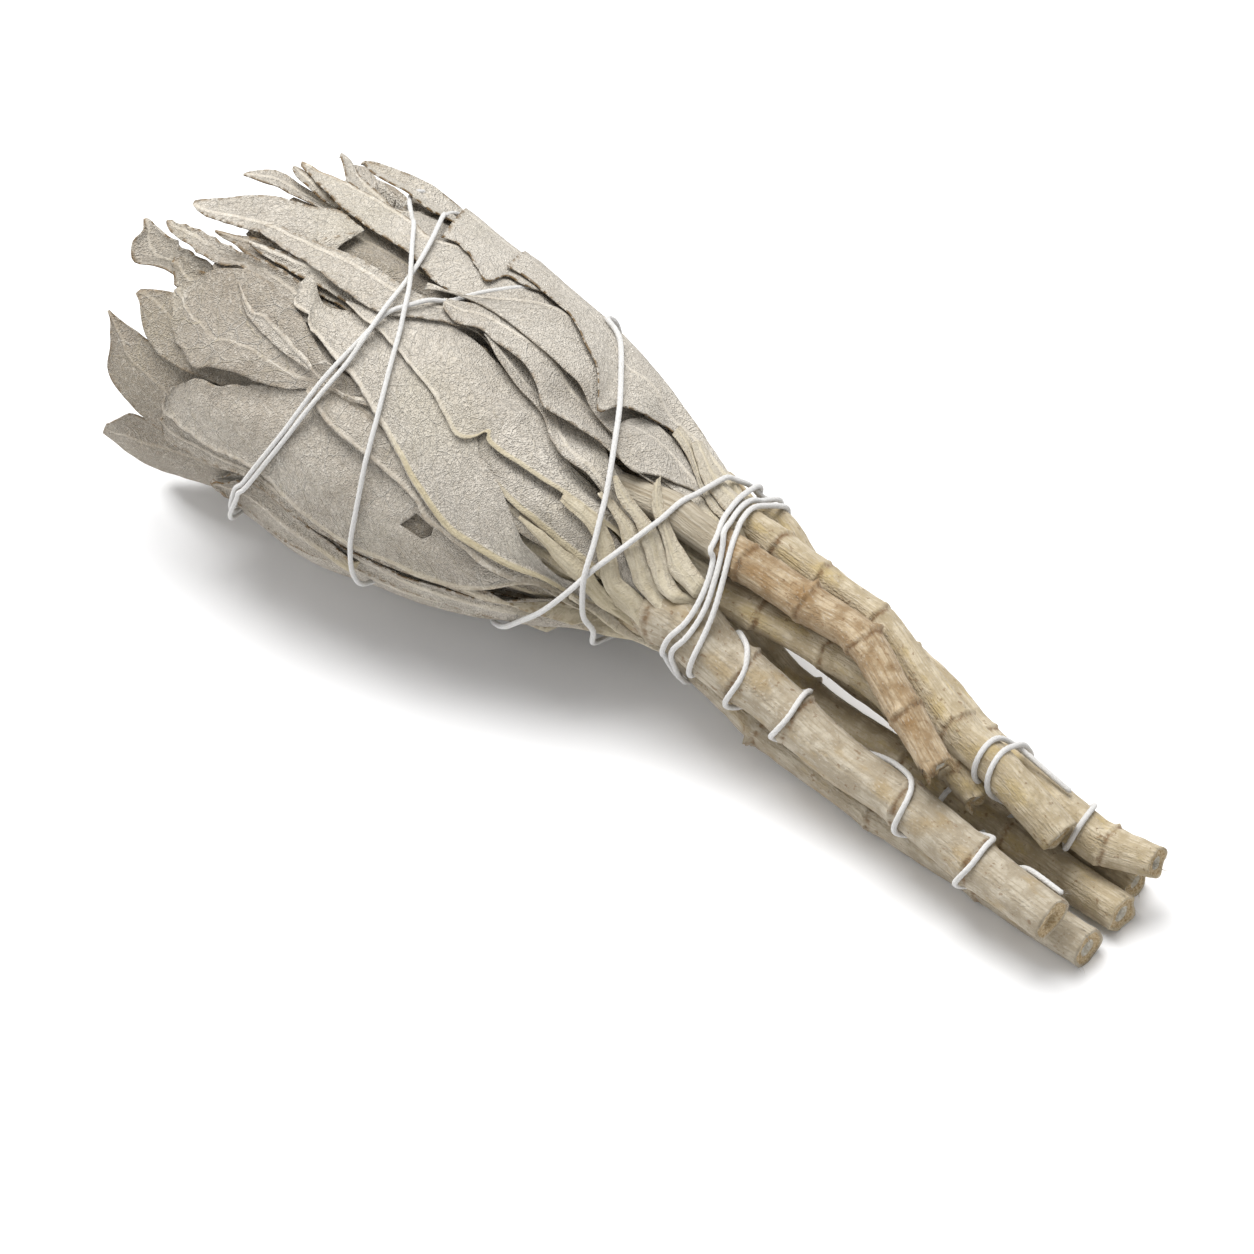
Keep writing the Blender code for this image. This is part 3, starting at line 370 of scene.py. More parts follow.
# The other leaves follow a rule: one for each layer and stem, rooted further from the neck layer by layer.
FIRST_ROOT, LAYER_STEP = 110.0, 6.5
PETIOLE_RISE = 9.0
HIDDEN_SPREAD = [34, 32, 30, 28, 26, 24, 20, 16, 11, 8]
HIDDEN_HALF = [7.6, 8.0, 7.8, 7.4, 7.0, 6.4, 5.8, 5.0, 4.0, 3.2]
HIDDEN_BOW = 0.35
# The s of their tips, how much less far the two outer layers reach, and where tips less than this many
# degrees from the camera side end.
TIPS, OUTER_SHORTER = (4, 16), 14
SEEN_FROM, SEEN_TIP = 108, 25
RULED_ROWS = 40
PETIOLE_HALF, TIP_HALF = 1.2, 0.15
WIDEST = 0.5
# Broad leaves in the heart of the bundle, under all the others.
CORE_LEAVES, CORE_HALF = 10, 8.5
# Young leaves round each stem's tip, in mm: their half width, length and spread, and how deep below the
# bundle's surface they stay.
YOUNG_LEAVES, YOUNG_HALF, YOUNG_LENGTH, YOUNG_SPREAD = 7, 4.4, 29.0, 9.0
HEART_DEPTH = 8.0
YOUNG_ROWS, YOUNG_COLUMNS = 16, 9

# The string, from its loose end at the top stems to its end at the front stem: what it lies on, and there s
# and psi or, where it is seen on the bundle, its traced dots.
STRING_RADIUS = 0.52
STRING_GAP = 0.12
# Where it is pulled tight over the head it is thinner: s, and the share of its radius.
TIGHT_KNOTS = [(-20, 0.84), (45, 0.84), (85, 1.0), (260, 1.0)]
HOLDS = {
    "bundle": list(STEMS), "pair": ["top", "crook"], "front": ["front"], "crook": ["crook"],
    "rear": ["low", "back"],
}
ROUTE = [
    ("pair", [(184, -98), (178, -90), (173.5, -82), (171.5, -60), (171, 0), (171.8, 90), (172.6, 180),
     (173.2, 270), (173.8, 360), (175, 430)]),
    ("crook", [(180, 130), (185, 210), (188, 290), (188.8, 360), (187.8, 430), (184, 510), (179, 560)]),
    ("rear", [(172, 50), (170, 110), (168, 200), (166, 290), (164, 380), (162, 470), (160, 550),
     (157, 590)]),
    ("bundle", [(149, 222), (143, 216), (134, 213), (121, 218), (113, 235), (108, 258)]),
    ("seen", [(880, 2), (872, 2), (861, 18), (841, 62), (830, 92), (815, 138), (802, 175), (796, 199),
     (785, 231), (772, 250)]),
    ("bundle", [(78, 475), (71, 507), (66, 555), (62, 600), (60, 640)]),
    ("seen", [(556, -12), (537, 10), (510, 40), (495, 58), (485, 105), (471, 209), (462.5, 284),
     (459.5, 296)]),
    ("bundle", [(30.5, 850), (33.5, 920), (38, 970)]),
    ("seen", [(493, -64), (494, -20), (494, 20), (491, 105), (476.8, 209), (468.2, 284), (465.2, 296)]),
    ("bundle", [(28.5, 1215), (30.5, 1280), (33.5, 1330)]),
    ("seen", [(452, -62), (464, -40), (487, 2), (503, 31), (519, 79), (545, 160), (570, 235), (589, 279),
     (611, 298)]),
    ("bundle", [(66, 1587), (68, 1640), (70, 1690)]),
    ("seen", [(678, -54), (690, -47), (706, -36), (731, -4), (752, 38), (774, 94), (791, 147), (802, 178),
     (811, 203), (823, 222), (838, 228)]),
    ("bundle", [(97.5, 1915), (100, 1950), (105, 2020), (108, 2068)]),
    ("seen", [(890, 15), (885, 50), (891, 83), (900, 120), (907, 153), (911, 182), (908, 206)]),
    ("bundle", [(110.5, 2320), (111, 2410)]),
    ("seen", [(899, 15), (894, 50), (902, 95), (910, 132), (918, 166), (921, 190), (918, 208)]),
    ("bundle", [(112.5, 2680), (113, 2770)]),
    ("seen", [(908, 18), (904, 52), (912, 98), (921, 140), (930, 172), (938, 196), (944, 212)]),
    ("front", [(118.5, 150), (119.5, 210), (122, 270), (125, 300), (127.6, 335), (128.3, 370), (127.4, 410),
     (126.5, 450), (128, 500), (133, 570), (137, 615), (138, 660), (138.9, 720), (137.4, 770), (135.9, 810),
     (138, 860), (148, 930), (155, 975), (160, 1002), (164, 1040), (165, 1080), (164.8, 1120),
     (164.3, 1170), (167, 1230), (174, 1300), (179.4, 1340), (180.4, 1370), (181.1, 1440), (179.6, 1490),
     (178.4, 1530), (180, 1590), (184, 1650), (188, 1695), (196, 1708)]),
]
ROUTE_DEGREE = 0.4
# Where the string runs under the outer leaves, as turns, and how deep below them.
COVERED = [(590, 682), (800, 868), (950, 1008), (1160, 1228), (1310, 1380), (1521, 1590)]
COVER_DEPTH, COVER_EASE = 2.2, 5
SAG_KNOTS = [(-10, 3.0), (88, 3.0), (98, 1.4), (106, 3.0), (132, 3.2)]
NECK = (102, 114)
# A tight string is straight, so from one place to the next it may lie this much deeper than on a circle.
TAUT_ROUNDS, CHORD = 120, 0.011
# Where the string crosses over itself: how far apart two turns are at least, in steps, and how high and
# how steeply the upper one rises.
CROSSING_APART, CROSSING_RISE, CROSSING_SLOPE = 12, 1.15, 0.3


# Curves and the bundle's shape

def smooth_path(points, step):
    """A Catmull-Rom curve through points of any dimension, as rows about step apart."""
    p = np.array(points, float)
    p = np.vstack([2 * p[0] - p[1], p, 2 * p[-1] - p[-2]])
    rows = []
    for a, b, c, d in zip(p[:-3], p[1:-2], p[2:-1], p[3:]):
        count = max(1, math.ceil(np.linalg.norm(c - b) / step))
        for i in range(count):
            t = i / count
            rows.append(0.5 * (2 * b + (c - a) * t + (2 * a - 5 * b + 4 * c - d) * t * t
                               + (3 * b - a - 3 * c + d) * t ** 3))
    rows.append(p[-2])
    return np.array(rows)


CENTRE_LINE = smooth_path(CENTRE_KNOTS, 1.0)
RADIUS_LINE = smooth_path(RADIUS_KNOTS, 1.0)


def table(knots, column, s):
    knots = np.asarray(knots, float)
    return np.interp(s, knots[:, 0], knots[:, column])


def run_along(rows):
    """How far along its line each row is, counting from the first."""
    return np.concatenate([[0], np.cumsum(np.linalg.norm(np.diff(rows, axis=0), axis=1))])


def placed_at(along, rows, stops):
    """The rows' values at these stops along their line."""
    return np.array([np.interp(stops, along, column) for column in rows.T]).T


def bell(x, width):
    """A smooth hump that is 1 at x = 0 and low past its width."""
    return np.exp(-(x / width) ** 2)


def units(rows):
    return rows / np.linalg.norm(rows, axis=1)[:, None]


def direction(psi):
    """The unit y and z of angles round the bundle's centre line."""
    a = np.radians(psi)
    lean = math.radians(LEAN)
    return np.stack([-math.sin(lean) * np.cos(a) - math.cos(lean) * np.sin(a),
                     math.cos(lean) * np.cos(a) - math.sin(lean) * np.sin(a)], axis=-1)


def centre_at(s):
    return np.stack([table(CENTRE_LINE, 1, s), table(CENTRE_LINE, 2, s)], axis=-1)


def shell(s, psi, depth):
    """Places in the bundle at this depth below its outer surface, as x, y and z in mm from the tips."""
    s, psi, depth = np.broadcast_arrays(np.asarray(s, float), psi, depth)
    reach = (table(RADIUS_LINE, 1, s) - depth)[..., None] * direction(psi) * (WIDE, HIGH)
    place = centre_at(s) + reach
    z = np.maximum(place[..., 1], np.maximum(table(FLOOR_KNOTS, 1, s) + depth, LOWEST))
    return np.stack([s, place[..., 0], z], axis=-1)


def traced_places(dots, depth):
    """The s and psi of traced dots at this depth. Past the silhouette they go on round the bundle."""
    u, v = (np.array(dots, float) - (ALONG_START, DOWN_START)).T / DOTS
    down = direction(90)
    psi = np.zeros(len(u))
    s = np.full(len(u), 60.0)
    for _ in range(TRACING_ROUNDS):
        off = np.degrees(((shell(s, psi, depth)[:, 1:] @ down) - v) / table(RADIUS_LINE, 1, s))
        psi = np.clip(psi - off * TRACING_SHARE, -SILHOUETTE, SILHOUETTE)
        s = s + TRACING_SHARE * (u - shell(s, psi, depth) @ ALONG)
    over = (v - shell(s, psi, depth)[:, 1:] @ down) / table(RADIUS_LINE, 1, s)
    over = np.where(np.abs(psi) > SILHOUETTE - 0.01, over, 0)
    return np.stack([s, psi + np.degrees(over)], axis=-1)


def picture_dots(points):
    """Where points in mm are seen in the levelled picture."""
    down = direction(90)
    return np.stack([points @ ALONG, points[..., 1:] @ down], axis=-1) * DOTS + (ALONG_START, DOWN_START)


def stem_path(name):
    """The stem's points as s, y, z and radius, from its end among the leaves to its cut end."""
    stem = STEMS[name]
    first, _, _, neck_radius = stem.points[0]
    inner = []
    for s, distance, share in HEAD_POINTS:
        if s > first - 8:
            break
        y, z = centre_at(s) + distance * direction(stem.psi)
        inner.append((s, y, z, share * neck_radius))
    return smooth_path(inner + list(stem.points), 1.0)


PATHS = {name: stem_path(name) for name in STEMS}


def stem_at(name, s):
    """The stem's y, z and radius at this s, its ring nodes included."""
    y, z, radius = (table(PATHS[name], k, s) for k in (1, 2, 3))
    nearest = min(abs(s - node) for node in STEMS[name].nodes)
    return np.array([y, z, radius * (1 + NODE_SWELL * max(0, 1 - nearest / NODE_LENGTH))])


def ripple(u, v, length, rng, waves=6):
    """A smooth random pattern, mostly between -1 and 1, over places u and v in mm."""
    total = 0
    for _ in range(waves):
        turn = rng.uniform(0, math.tau)
        size = length * rng.uniform(0.7, 1.6)
        total = total + np.sin(math.tau * (u * math.cos(turn) + v * math.sin(turn)) / size
                               + rng.uniform(0, math.tau))
    return total / math.sqrt(waves)


# The layers of leaves

S_LOW, S_HIGH, PSI_STEP = -14, 134, 1.25
PSI_COUNT = int(360 / PSI_STEP)


def window(field, reach, combine):
    """The field with each value combined with its neighbours within reach, first along and then across."""
    for axis, n in enumerate(reach):
        padded = np.pad(field, [(n, n) if k == axis else (0, 0) for k in (0, 1)], mode="edge")
        size = field.shape[axis]
        field = combine([np.take(padded, range(i, i + size), axis) for i in range(2 * n + 1)], axis=0)
    return field


def bend_off(psi, side):
    """The angle from one side to another, from -180 to 180."""
    return (psi - side + 180) % 360 - 180


class Depths:
    """How deep the laid leaves reach at each s and psi: the next leaf goes below that."""

    def __init__(self):
        s = np.arange(S_LOW, S_HIGH)[:, None]
        psi = np.arange(PSI_COUNT)[None, :] * PSI_STEP
        self.grid = FIRST_DEPTH - PITCH + table(NECK_SINK, 1, s) + 0 * psi
        for middle, side, along, round_it, height in SWELLINGS:
            self.grid -= height * bell(s - middle, along) * bell(bend_off(psi, side), round_it)
        self.bare = np.ones(self.grid.shape, bool)
        self.outer = table(SAG_KNOTS, 1, s) + 0 * psi

    def cells(self, s, psi):
        row = np.clip(np.rint(s - S_LOW).astype(int), 0, S_HIGH - S_LOW - 1)
        return row, np.rint(np.asarray(psi) / PSI_STEP).astype(int) % PSI_COUNT

    def around(self, s, psi, rows, columns):
        """The cells up to so many rows and columns away, each with its distance in mm."""
        row, column = self.cells(s, psi)
        for dr in range(-rows, rows + 1):
            for dc in range(-columns, columns + 1):
                cell = (np.clip(row + dr, 0, S_HIGH - S_LOW - 1), (column + dc) % PSI_COUNT)
                yield cell, math.hypot(dr, dc * PSI_STEP * DEGREE)

    def press(self, places):
        """The string's route holds the leaves down."""
        dent = np.zeros(self.grid.shape)
        for cell, distance in self.around(places[:, 0], places[:, 1], 4, 6):
            np.maximum.at(dent, cell, PRESS * bell(distance, PRESS_WIDTH))
        self.grid += dent

    def lay(self, s, psi, depth):
        for cell, _ in self.around(s, psi, 1, 1):
            np.maximum.at(self.grid, cell, depth)
            np.minimum.at(self.outer, cell, depth)
            self.bare[cell] = False

    def room(self, s, psi):
        """About how deep a leaf laid next would lie here."""
        field = window(np.pad(self.grid, [(0, 0), (6, 6)], mode="wrap"), (3, 3), np.max)
        field = window(field, (2, 2), np.mean)[:, 6:-6]
        return field[self.cells(s, psi)] + PITCH

    def surface(self, s, psi):
        """The depth of the outermost leaf within a mm or two: what a tight string rests on there."""
        row, column = self.cells(s, psi)
        rows = slice(max(0, row - 1), row + 2)
        columns = np.arange(column - 2, column + 3) % PSI_COUNT
        return self.outer[rows][:, columns].min() - BLADE_THICK / 2


Leaf = namedtuple("Leaf", "stem upper lower looks detail")


def ruled_leaf(stem, path, half, looks, detail):
    """A leaf from its midrib's places and half width: narrow at the petiole, widest in the middle."""
    midrib = smooth_path(path, 1.0)
    along = run_along(midrib * (1, DEGREE))
    reach = np.linspace(0, along[-1], RULED_ROWS)
    middle = placed_at(along, midrib, reach)
    t = reach / along[-1]
    body = np.where(t < WIDEST, np.sin(np.pi / 2 * np.clip(t / WIDEST, 0, 1)) ** 1.3,
                    (1 - np.clip((t - WIDEST) / (1 - WIDEST), 0, 1) ** 2.4) ** 0.8)
    width = np.maximum(half * body, np.where(t < WIDEST, PETIOLE_HALF, TIP_HALF))
    radius = table(RADIUS_LINE, 1, middle[:, 0]) - 3
    scale = np.stack([np.ones(RULED_ROWS), np.radians(radius)], axis=-1)
    run = units(np.gradient(middle, axis=0) * scale)
    aside = np.stack([-run[:, 1], np.degrees(run[:, 0] / radius)], axis=-1) * width[:, None]
    return Leaf(stem, middle + aside, middle - aside, looks, detail)


def all_leaves():
    """Every leaf, outermost first: the traced ones, and the others by rule."""
    leaves = [Leaf(stem, upper, lower, {**PLAIN, **looks}, 1) for stem, upper, lower, looks in TRACED]
    rng = random.Random(SEED)
    looks_rng = random.Random(SEED + 1)
    for layer, (widest_spread, widest_half) in enumerate(zip(HIDDEN_SPREAD, HIDDEN_HALF)):
        start = FIRST_ROOT - LAYER_STEP * layer - PETIOLE_RISE
        for name, stem in STEMS.items():
            if (layer, name) in TRACED_FOR:
                continue
            psi = stem.psi
            spread = widest_spread * rng.uniform(-1, 1)
            bow = HIDDEN_BOW * widest_spread * rng.uniform(-1, 1)
            tip = rng.uniform(*TIPS) + (OUTER_SHORTER if layer < 2 else 0)
            if abs(bend_off(psi, -spread)) < SEEN_FROM:
                tip = max(tip, SEEN_TIP)
            path = [(start, psi), (start - 12, psi + 0.15 * spread),
                    ((start + tip) / 2, psi + 0.6 * spread + bow), (tip, psi + spread)]
            half = widest_half * rng.uniform(0.85, 1.12)
            looks = dict(PLAIN, tone=looks_rng.uniform(-0.4, 0.4), brown=looks_rng.uniform(0.1, 0.7),
                         lift=(looks_rng.uniform(0, 0.8), looks_rng.uniform(0, 0.8)),
                         rib=looks_rng.uniform(-0.4, 0.4), bold=looks_rng.uniform(0.2, 0.9))
            leaves.append(ruled_leaf(name, path, half, looks, 2 if layer < 4 else 4))
    for number in range(CORE_LEAVES):
        psi = 360 * number / CORE_LEAVES + 10
        name = min(STEMS, key=lambda name: abs(bend_off(STEMS[name].psi, psi)))
        path = [(110, psi), (80, psi + 4), (40, psi - 4), (14 + 3 * (number % 3), psi)]
        leaves.append(ruled_leaf(name, path, CORE_HALF, dict(PLAIN, tone=-0.5), 4))
    return leaves


def even_rows(edge, count):
    """The edge's smooth curve again as this many rows, evenly spaced along it."""
    curve = smooth_path(edge, 1.0)
    along = run_along(curve * (1, DEGREE))
    return placed_at(along, curve, np.linspace(0, along[-1], count))


def with_petiole(first, rows):
    """A value for each point of a leaf's grid: for the petiole's rows, and then for the blade's."""
    rows = np.concatenate([np.broadcast_to(first, (PETIOLE_ROWS, rows.shape[1])), rows])
    return np.broadcast_to(rows, (len(rows), COLUMNS))


def lay_leaf(leaf, depths, rng):
    """Works out a leaf's fine grid: its points in mm, and at each the way across and along, the distance
    from its edge, how near it is to its petiole, half the midrib's width and how yellow it is."""
    looks = leaf.looks
    if leaf.detail == 1:
        edges = []
        for dots in (leaf.upper, leaf.lower):
            edge = traced_places(dots, 0)
            for _ in (0, 1):
                room = depths.room(edge[:, 0], edge[:, 1])
                edge = traced_places(dots, room + looks["sink"] - looks["band"] / 2)
            edges.append(edge)
        leaf = leaf._replace(upper=edges[0], lower=edges[1])
    longest = max(run_along(edge * (1, DEGREE))[-1] for edge in (leaf.upper, leaf.lower))
    count = 4 * round(longest / STEP_ALONG / 4) + 1
    upper, lower = even_rows(leaf.upper, count), even_rows(leaf.lower, count)
    middle = (upper + lower) / 2
    round_mm = np.radians(table(RADIUS_LINE, 1, middle[:, 0]) - 1)
    gap = (upper - lower) * np.stack([np.ones(count), round_mm], axis=-1)
    width = np.maximum(np.linalg.norm(gap, axis=1), 0.3)
    along = run_along(middle * (1, DEGREE))

    # The grid runs from the lower edge (a = -1) to the upper one, and from the petiole (t = 0) to the tip.
    a = np.linspace(-1, 1, COLUMNS)[None, :]
    t = (along / along[-1])[:, None]
    blade = np.clip((t - BLADE_FROM) / BLADE_EASE, 0, 1)
    waves = []
    for _ in (0, 1):
        wave = sum(height * ripple(along, 0, length, rng) for height, length in EDGE_WAVES)
        broken = np.abs(ripple(along, 0, BREAK_LENGTH, rng))
        wave += looks["ragged"] * broken * np.clip((t[:, 0] - BREAKS_FROM) / BREAKS_EASE, 0, 1)
        waves.append(wave[:, None] * blade / width[:, None])
    low_wave, high_wave = waves
    share = low_wave + (1 - low_wave - high_wave) * (a + 1) / 2
    place = lower[:, None, :] + (upper - lower)[:, None, :] * share[..., None]
    s, psi = place[..., 0], place[..., 1]
    half = width[:, None] / 2
    across = (a - looks["rib"]) * half
    forward = along[:, None] + 0 * a
    edge = np.minimum((1 - np.abs(a)) * half, along[-1] - forward + 0.05)

    # It lies on the leaves laid before, and its bare edge may stand out a little.
    cells = depths.cells(s, psi)
    need = depths.grid[cells] + PITCH
    bare = window(window(depths.bare[cells].astype(float), (3, 3), np.min), (2, 2), np.mean)
    shallowest = window(window(need, (1, 1), np.max), (1, 1), np.mean)
    depth = window(need, REACH, np.max)
    for _ in (0, 1):
        depth = window(depth, (REACH[0] // 2, REACH[1] // 2), np.mean)
    stiff = np.clip(width / 8, 0.2, 1)[:, None]
    depth = depth + SWELL * stiff * (1 + ripple(across, forward, SWELL_LENGTH, rng)).clip(0)
    depth = depth + PUCKER * ripple(across, forward, PUCKER_LENGTH, rng)
    depth = depth + looks["fold"] * bell(across, FOLD_WIDTH) + looks["sink"]
    low_lift, high_lift = looks["lift"]
    curl = np.where(a < 0, low_lift, high_lift) * bell(edge, CURL_WIDTH) * CURL_RISE
    curl = curl * (1 + 0.4 * ripple(across * 0, forward, CURL_LENGTH, rng)) * blade
    fade = (1 - t) ** 1.2
    rib_half = RIB_TIP + (RIB_ROOT + RIB_BOLD * looks["bold"]) * fade
    height = RIDGE_TIP + RIDGE_ROOT * fade * (0.5 + 0.5 * looks["bold"])
    ridge = height * np.exp(-(across / rib_half) ** 4)
    arch = PETIOLE_ARCH * (1 - a ** 2) * np.clip(1 - t / 0.25, 0, 1)
    band = looks["band"] * np.clip(1 - t, 0, 1) ** 0.6
    arch = arch + band * (1 - a ** 4) * (1 + 0.12 * np.sin(4 * across + np.sin(forward / 5)))
    depth = np.maximum(depth - curl - ridge - arch, shallowest - FREE_RISE * bare)
    depths.lay(s, psi, depth)
    points = shell(s, psi, depth)

    # The petiole goes on to its stem or, where it is a rounded one, to its place at the neck.
    root, side = s[0].mean(), psi[0].mean()
    reach = max(2.0, min(HEART_PETIOLE if leaf.detail == 4 else PETIOLE_LENGTH, LAST_FOOT - root))
    y, z, _ = stem_at(leaf.stem, root + reach)
    out = direction(STEMS[leaf.stem].psi)
    if looks["band"]:
        y, z = shell(root, side, FOOT_DEPTH)[1:]
        out = direction(side)
    foot = np.array([[root + reach, y + 0.7 * k * out[1], z - 0.7 * k * out[0]] for k in a[0]])
    still = np.linspace(1, 0, PETIOLE_ROWS, endpoint=False)[:, None]
    ease = (still * still * (3 - 2 * still))[..., None]
    points = np.concatenate([foot * ease + points[0] * (1 - ease), points])
    stalky = 0.82 + 0.18 * looks["bold"] if looks["band"] else 0.0
    near = np.maximum(with_petiole(1, np.clip(1 - t / 0.35, 0, 1)), stalky)
    tint = with_petiole(1, np.clip((0.78 - t) / 0.2, 0, 1)) * looks["bold"]
    marks = [with_petiole(across[0], across), with_petiole(-PETIOLE_LENGTH * still, forward),
             with_petiole(edge[0], edge), near, with_petiole(rib_half[0], rib_half), tint]
    return points, np.stack(marks, axis=-1)


def young_leaf(name, number, rng):
    """A small cupped leaf by a stem's tip: its grid's points, with the marks that lay_leaf gives."""
    start = PATHS[name][0, 0] + rng.uniform(1, 12)
    y, z, radius = stem_at(name, start)
    turn = math.tau * (number + rng.uniform(-0.3, 0.3)) / YOUNG_LEAVES
    out = np.array([0, math.cos(turn), math.sin(turn)])
    aside = np.array([0, -math.sin(turn), math.cos(turn)])
    length = YOUNG_LENGTH * rng.uniform(0.75, 1.1)
    t = np.linspace(0, 1, YOUNG_ROWS)[:, None]
    a = np.linspace(-1, 1, YOUNG_COLUMNS)[None, :]
    half = YOUNG_HALF * rng.uniform(0.75, 1.15) * np.sin(np.pi * (0.06 + 0.93 * t) ** 0.85)
    across = a * half
    forward = length * t + 0 * a
    away = 0.6 * radius + YOUNG_SPREAD * rng.uniform(0.2, 1.0) * t ** 1.2 - 0.09 * across * across
    away = away + 0.3 * ripple(across, length * t, 9, rng)
    sway = rng.uniform(-3, 3) * t * t
    points = np.array([start, y, z]) - np.array([1, 0, 0]) * forward[..., None]
    points = points + out * away[..., None] + aside * (across + sway)[..., None]
    s = points[..., 0]
    middle = centre_at(s)
    off = (points[..., 1:] - middle) / (WIDE, HIGH)
    room = table(RADIUS_LINE, 1, s) - HEART_DEPTH
    share = np.minimum(room / np.maximum(np.linalg.norm(off, axis=-1), 0.1), 1)
    points[..., 1:] = middle + off * share[..., None] * (WIDE, HIGH)
    points[..., 2] = np.maximum(points[..., 2], table(FLOOR_KNOTS, 1, s) + HEART_DEPTH / 2)
    edge = np.minimum((1 - np.abs(a)) * half, length * (1 - t) + 0.05)
    near = np.clip(1 - t / 0.3, 0, 1) + 0 * a
    return points, np.stack([across, forward, edge, near, 0.35 + 0 * across, 0.3 * (1 - t) + 0 * a], axis=-1)


# Meshes

def link_new(name, data):
    made = bpy.data.objects.new(name, data)
    bpy.context.scene.collection.objects.link(made)
    return made


def object_of(name, bm, finish):
    mesh = bpy.data.meshes.new(name)
    bm.to_mesh(mesh)
    bm.free()
    mesh.materials.append(finish)
    return link_new(name, mesh)


def bundle_piece(name, bm, finish, nodes):
    """A piece of the scene that rides on the bundle and stands for these solid nodes."""
    piece = object_of(name, bm, finish)
    piece.data.shade_smooth()
    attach(piece, "root")
    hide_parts(*nodes)
    return piece


def sheet_grid(bm, points):
    """A grid of faces through rows of points in mm, made from a plain grid. Gives its corners by rows."""
    rows, columns = points.shape[:2]
    made = bmesh.ops.create_grid(bm, x_segments=columns - 1, y_segments=rows - 1, size=1)["verts"]
    points = (points + (SHIFT_X, 0, 0)) * MM
    for vertex, point in zip(made, points.reshape(-1, 3).tolist()):
        vertex.co = point
    return made


def tear(bm, made, points, outline):
    """Cuts out of a leaf what is seen inside an outline of traced dots."""
    outline = np.array(outline, float)
    runs = np.roll(outline, -1, axis=0) - outline
    away = np.linalg.norm(picture_dots(points).reshape(-1, 2) - outline.mean(axis=0), axis=1)
    round_it = [vertex for vertex, distance in zip(made, away) if distance < TEAR_REACH]
    near = {face for vertex in round_it for face in vertex.link_faces}
    along, down = np.array(ALONG), np.array([0, *direction(90)])
    for start, run in zip(outline, runs):
        right, lower = (start - (ALONG_START, DOWN_START)) / DOTS
        spot = (along * right + down * lower + (SHIFT_X, 0, 0)) * MM
        edges = {edge for face in near for edge in face.edges}
        corners = {vertex for edge in edges for vertex in edge.verts}
        cut = bmesh.ops.bisect_plane(bm, geom=[*near, *edges, *corners], plane_co=spot,
                                     plane_no=along * run[1] - down * run[0])
        near = {part for part in cut["geom"] if isinstance(part, bmesh.types.BMFace)}
    torn = []
    for face in near:
        ways = picture_dots(np.array(face.calc_center_median()) / MM - (SHIFT_X, 0, 0)) - outline
        if (runs[:, 0] * ways[:, 1] - runs[:, 1] * ways[:, 0] > 0).all():
            torn.append(face)
    bmesh.ops.delete(bm, geom=torn, context="FACES")


def make_leaves(depths):
    """The leaves of each stem, in one piece a stem."""
    rng = random.Random(SEED + 2)
    pieces = {name: bmesh.new() for name in STEMS}
    layers = {}
    for name, bm in pieces.items():
        kinds = bm.verts.layers
        layers[name] = (kinds.float_vector.new("leaf_place"), kinds.float_color.new("leaf_look"),
                        kinds.float.new("rib_width"), kinds.float.new("rib_tint"))
    laid = []
    for leaf in all_leaves():
        points, marks = lay_leaf(leaf, depths, rng)
        thin = (slice(None, None, leaf.detail), slice(None, None, leaf.detail))
        laid.append((leaf.stem, points[thin], marks[thin], leaf.looks))
    for name in STEMS:
        for number in range(YOUNG_LEAVES):
            laid.append((name, *young_leaf(name, number, rng), dict(PLAIN, tone=rng.uniform(-0.9, -0.1))))
    for number, (name, points, marks, looks) in enumerate(laid):
        made = sheet_grid(pieces[name], points)
        place, look, rib, tint = layers[name]
        tone = 0.5 + 0.5 * looks["tone"]
        for vertex, (x, y, margin, petiole, rib_half, yellow) in zip(made, marks.reshape(-1, 6).tolist()):
            vertex[place] = (x, y, LEAF_APART * number)
            vertex[look] = (tone, looks["brown"] * max(0.0, 1 - margin / RIM), petiole, looks["veins"])
            vertex[rib] = rib_half
            vertex[tint] = yellow
        if looks["hole"]:
            tear(pieces[name], made, points, looks["hole"])
    finish = leaf_material()
    for name, bm in pieces.items():
        piece = bundle_piece("leaves_" + name, bm, finish, ["leafy_stem_" + name])
        plate = piece.modifiers.new("thickness", "SOLIDIFY")
        plate.thickness = BLADE_THICK * MM
        plate.offset = 0


def frames_along(path):
    """Two directions across the path at each point, turned as little as possible from one to the next."""
    tangents = units(np.gradient(path, axis=0))
    side = np.cross(tangents[0], (0.0, 0.0, 1.0))
    sides = []
    for tangent in tangents:
        side = side - tangent * side.dot(tangent)
        side /= np.linalg.norm(side)
        sides.append(side)
    return np.array(sides), np.cross(sides, tangents)


def rings_round(spine, side, up, radii):
    """Rings of points round a spine, with a row of radii for each, whose first and last columns meet."""
    turns = np.linspace(0, math.tau, radii.shape[1])[None, :, None]
    ring = np.cos(turns) * side[:, None, :] + np.sin(turns) * up[:, None, :]
    return spine[:, None, :] + radii[..., None] * ring


def close_tube(bm):
    """Joins a tube's seam and its two ends, and turns its faces outwards."""
    bmesh.ops.remove_doubles(bm, verts=bm.verts, dist=2e-6)
    bmesh.ops.recalc_face_normals(bm, faces=bm.faces)


STRIP_STEPS = 4


def strip(start, out, way, sway, reach, half):
    """A narrow tapering strip that curves out from where it starts, as rows of its two edges."""
    t = np.linspace(0, 1, STRIP_STEPS)[:, None]
    line = start + out * reach * 0.8 * t ** 1.3 + way * reach * 1.4 * t + sway * reach * t * t
    across = np.cross(out, way) * half * (1 - 0.7 * t)
    line[:, 2] = np.maximum(line[:, 2], LOWEST)
    return np.stack([line - across, line + across], axis=1)


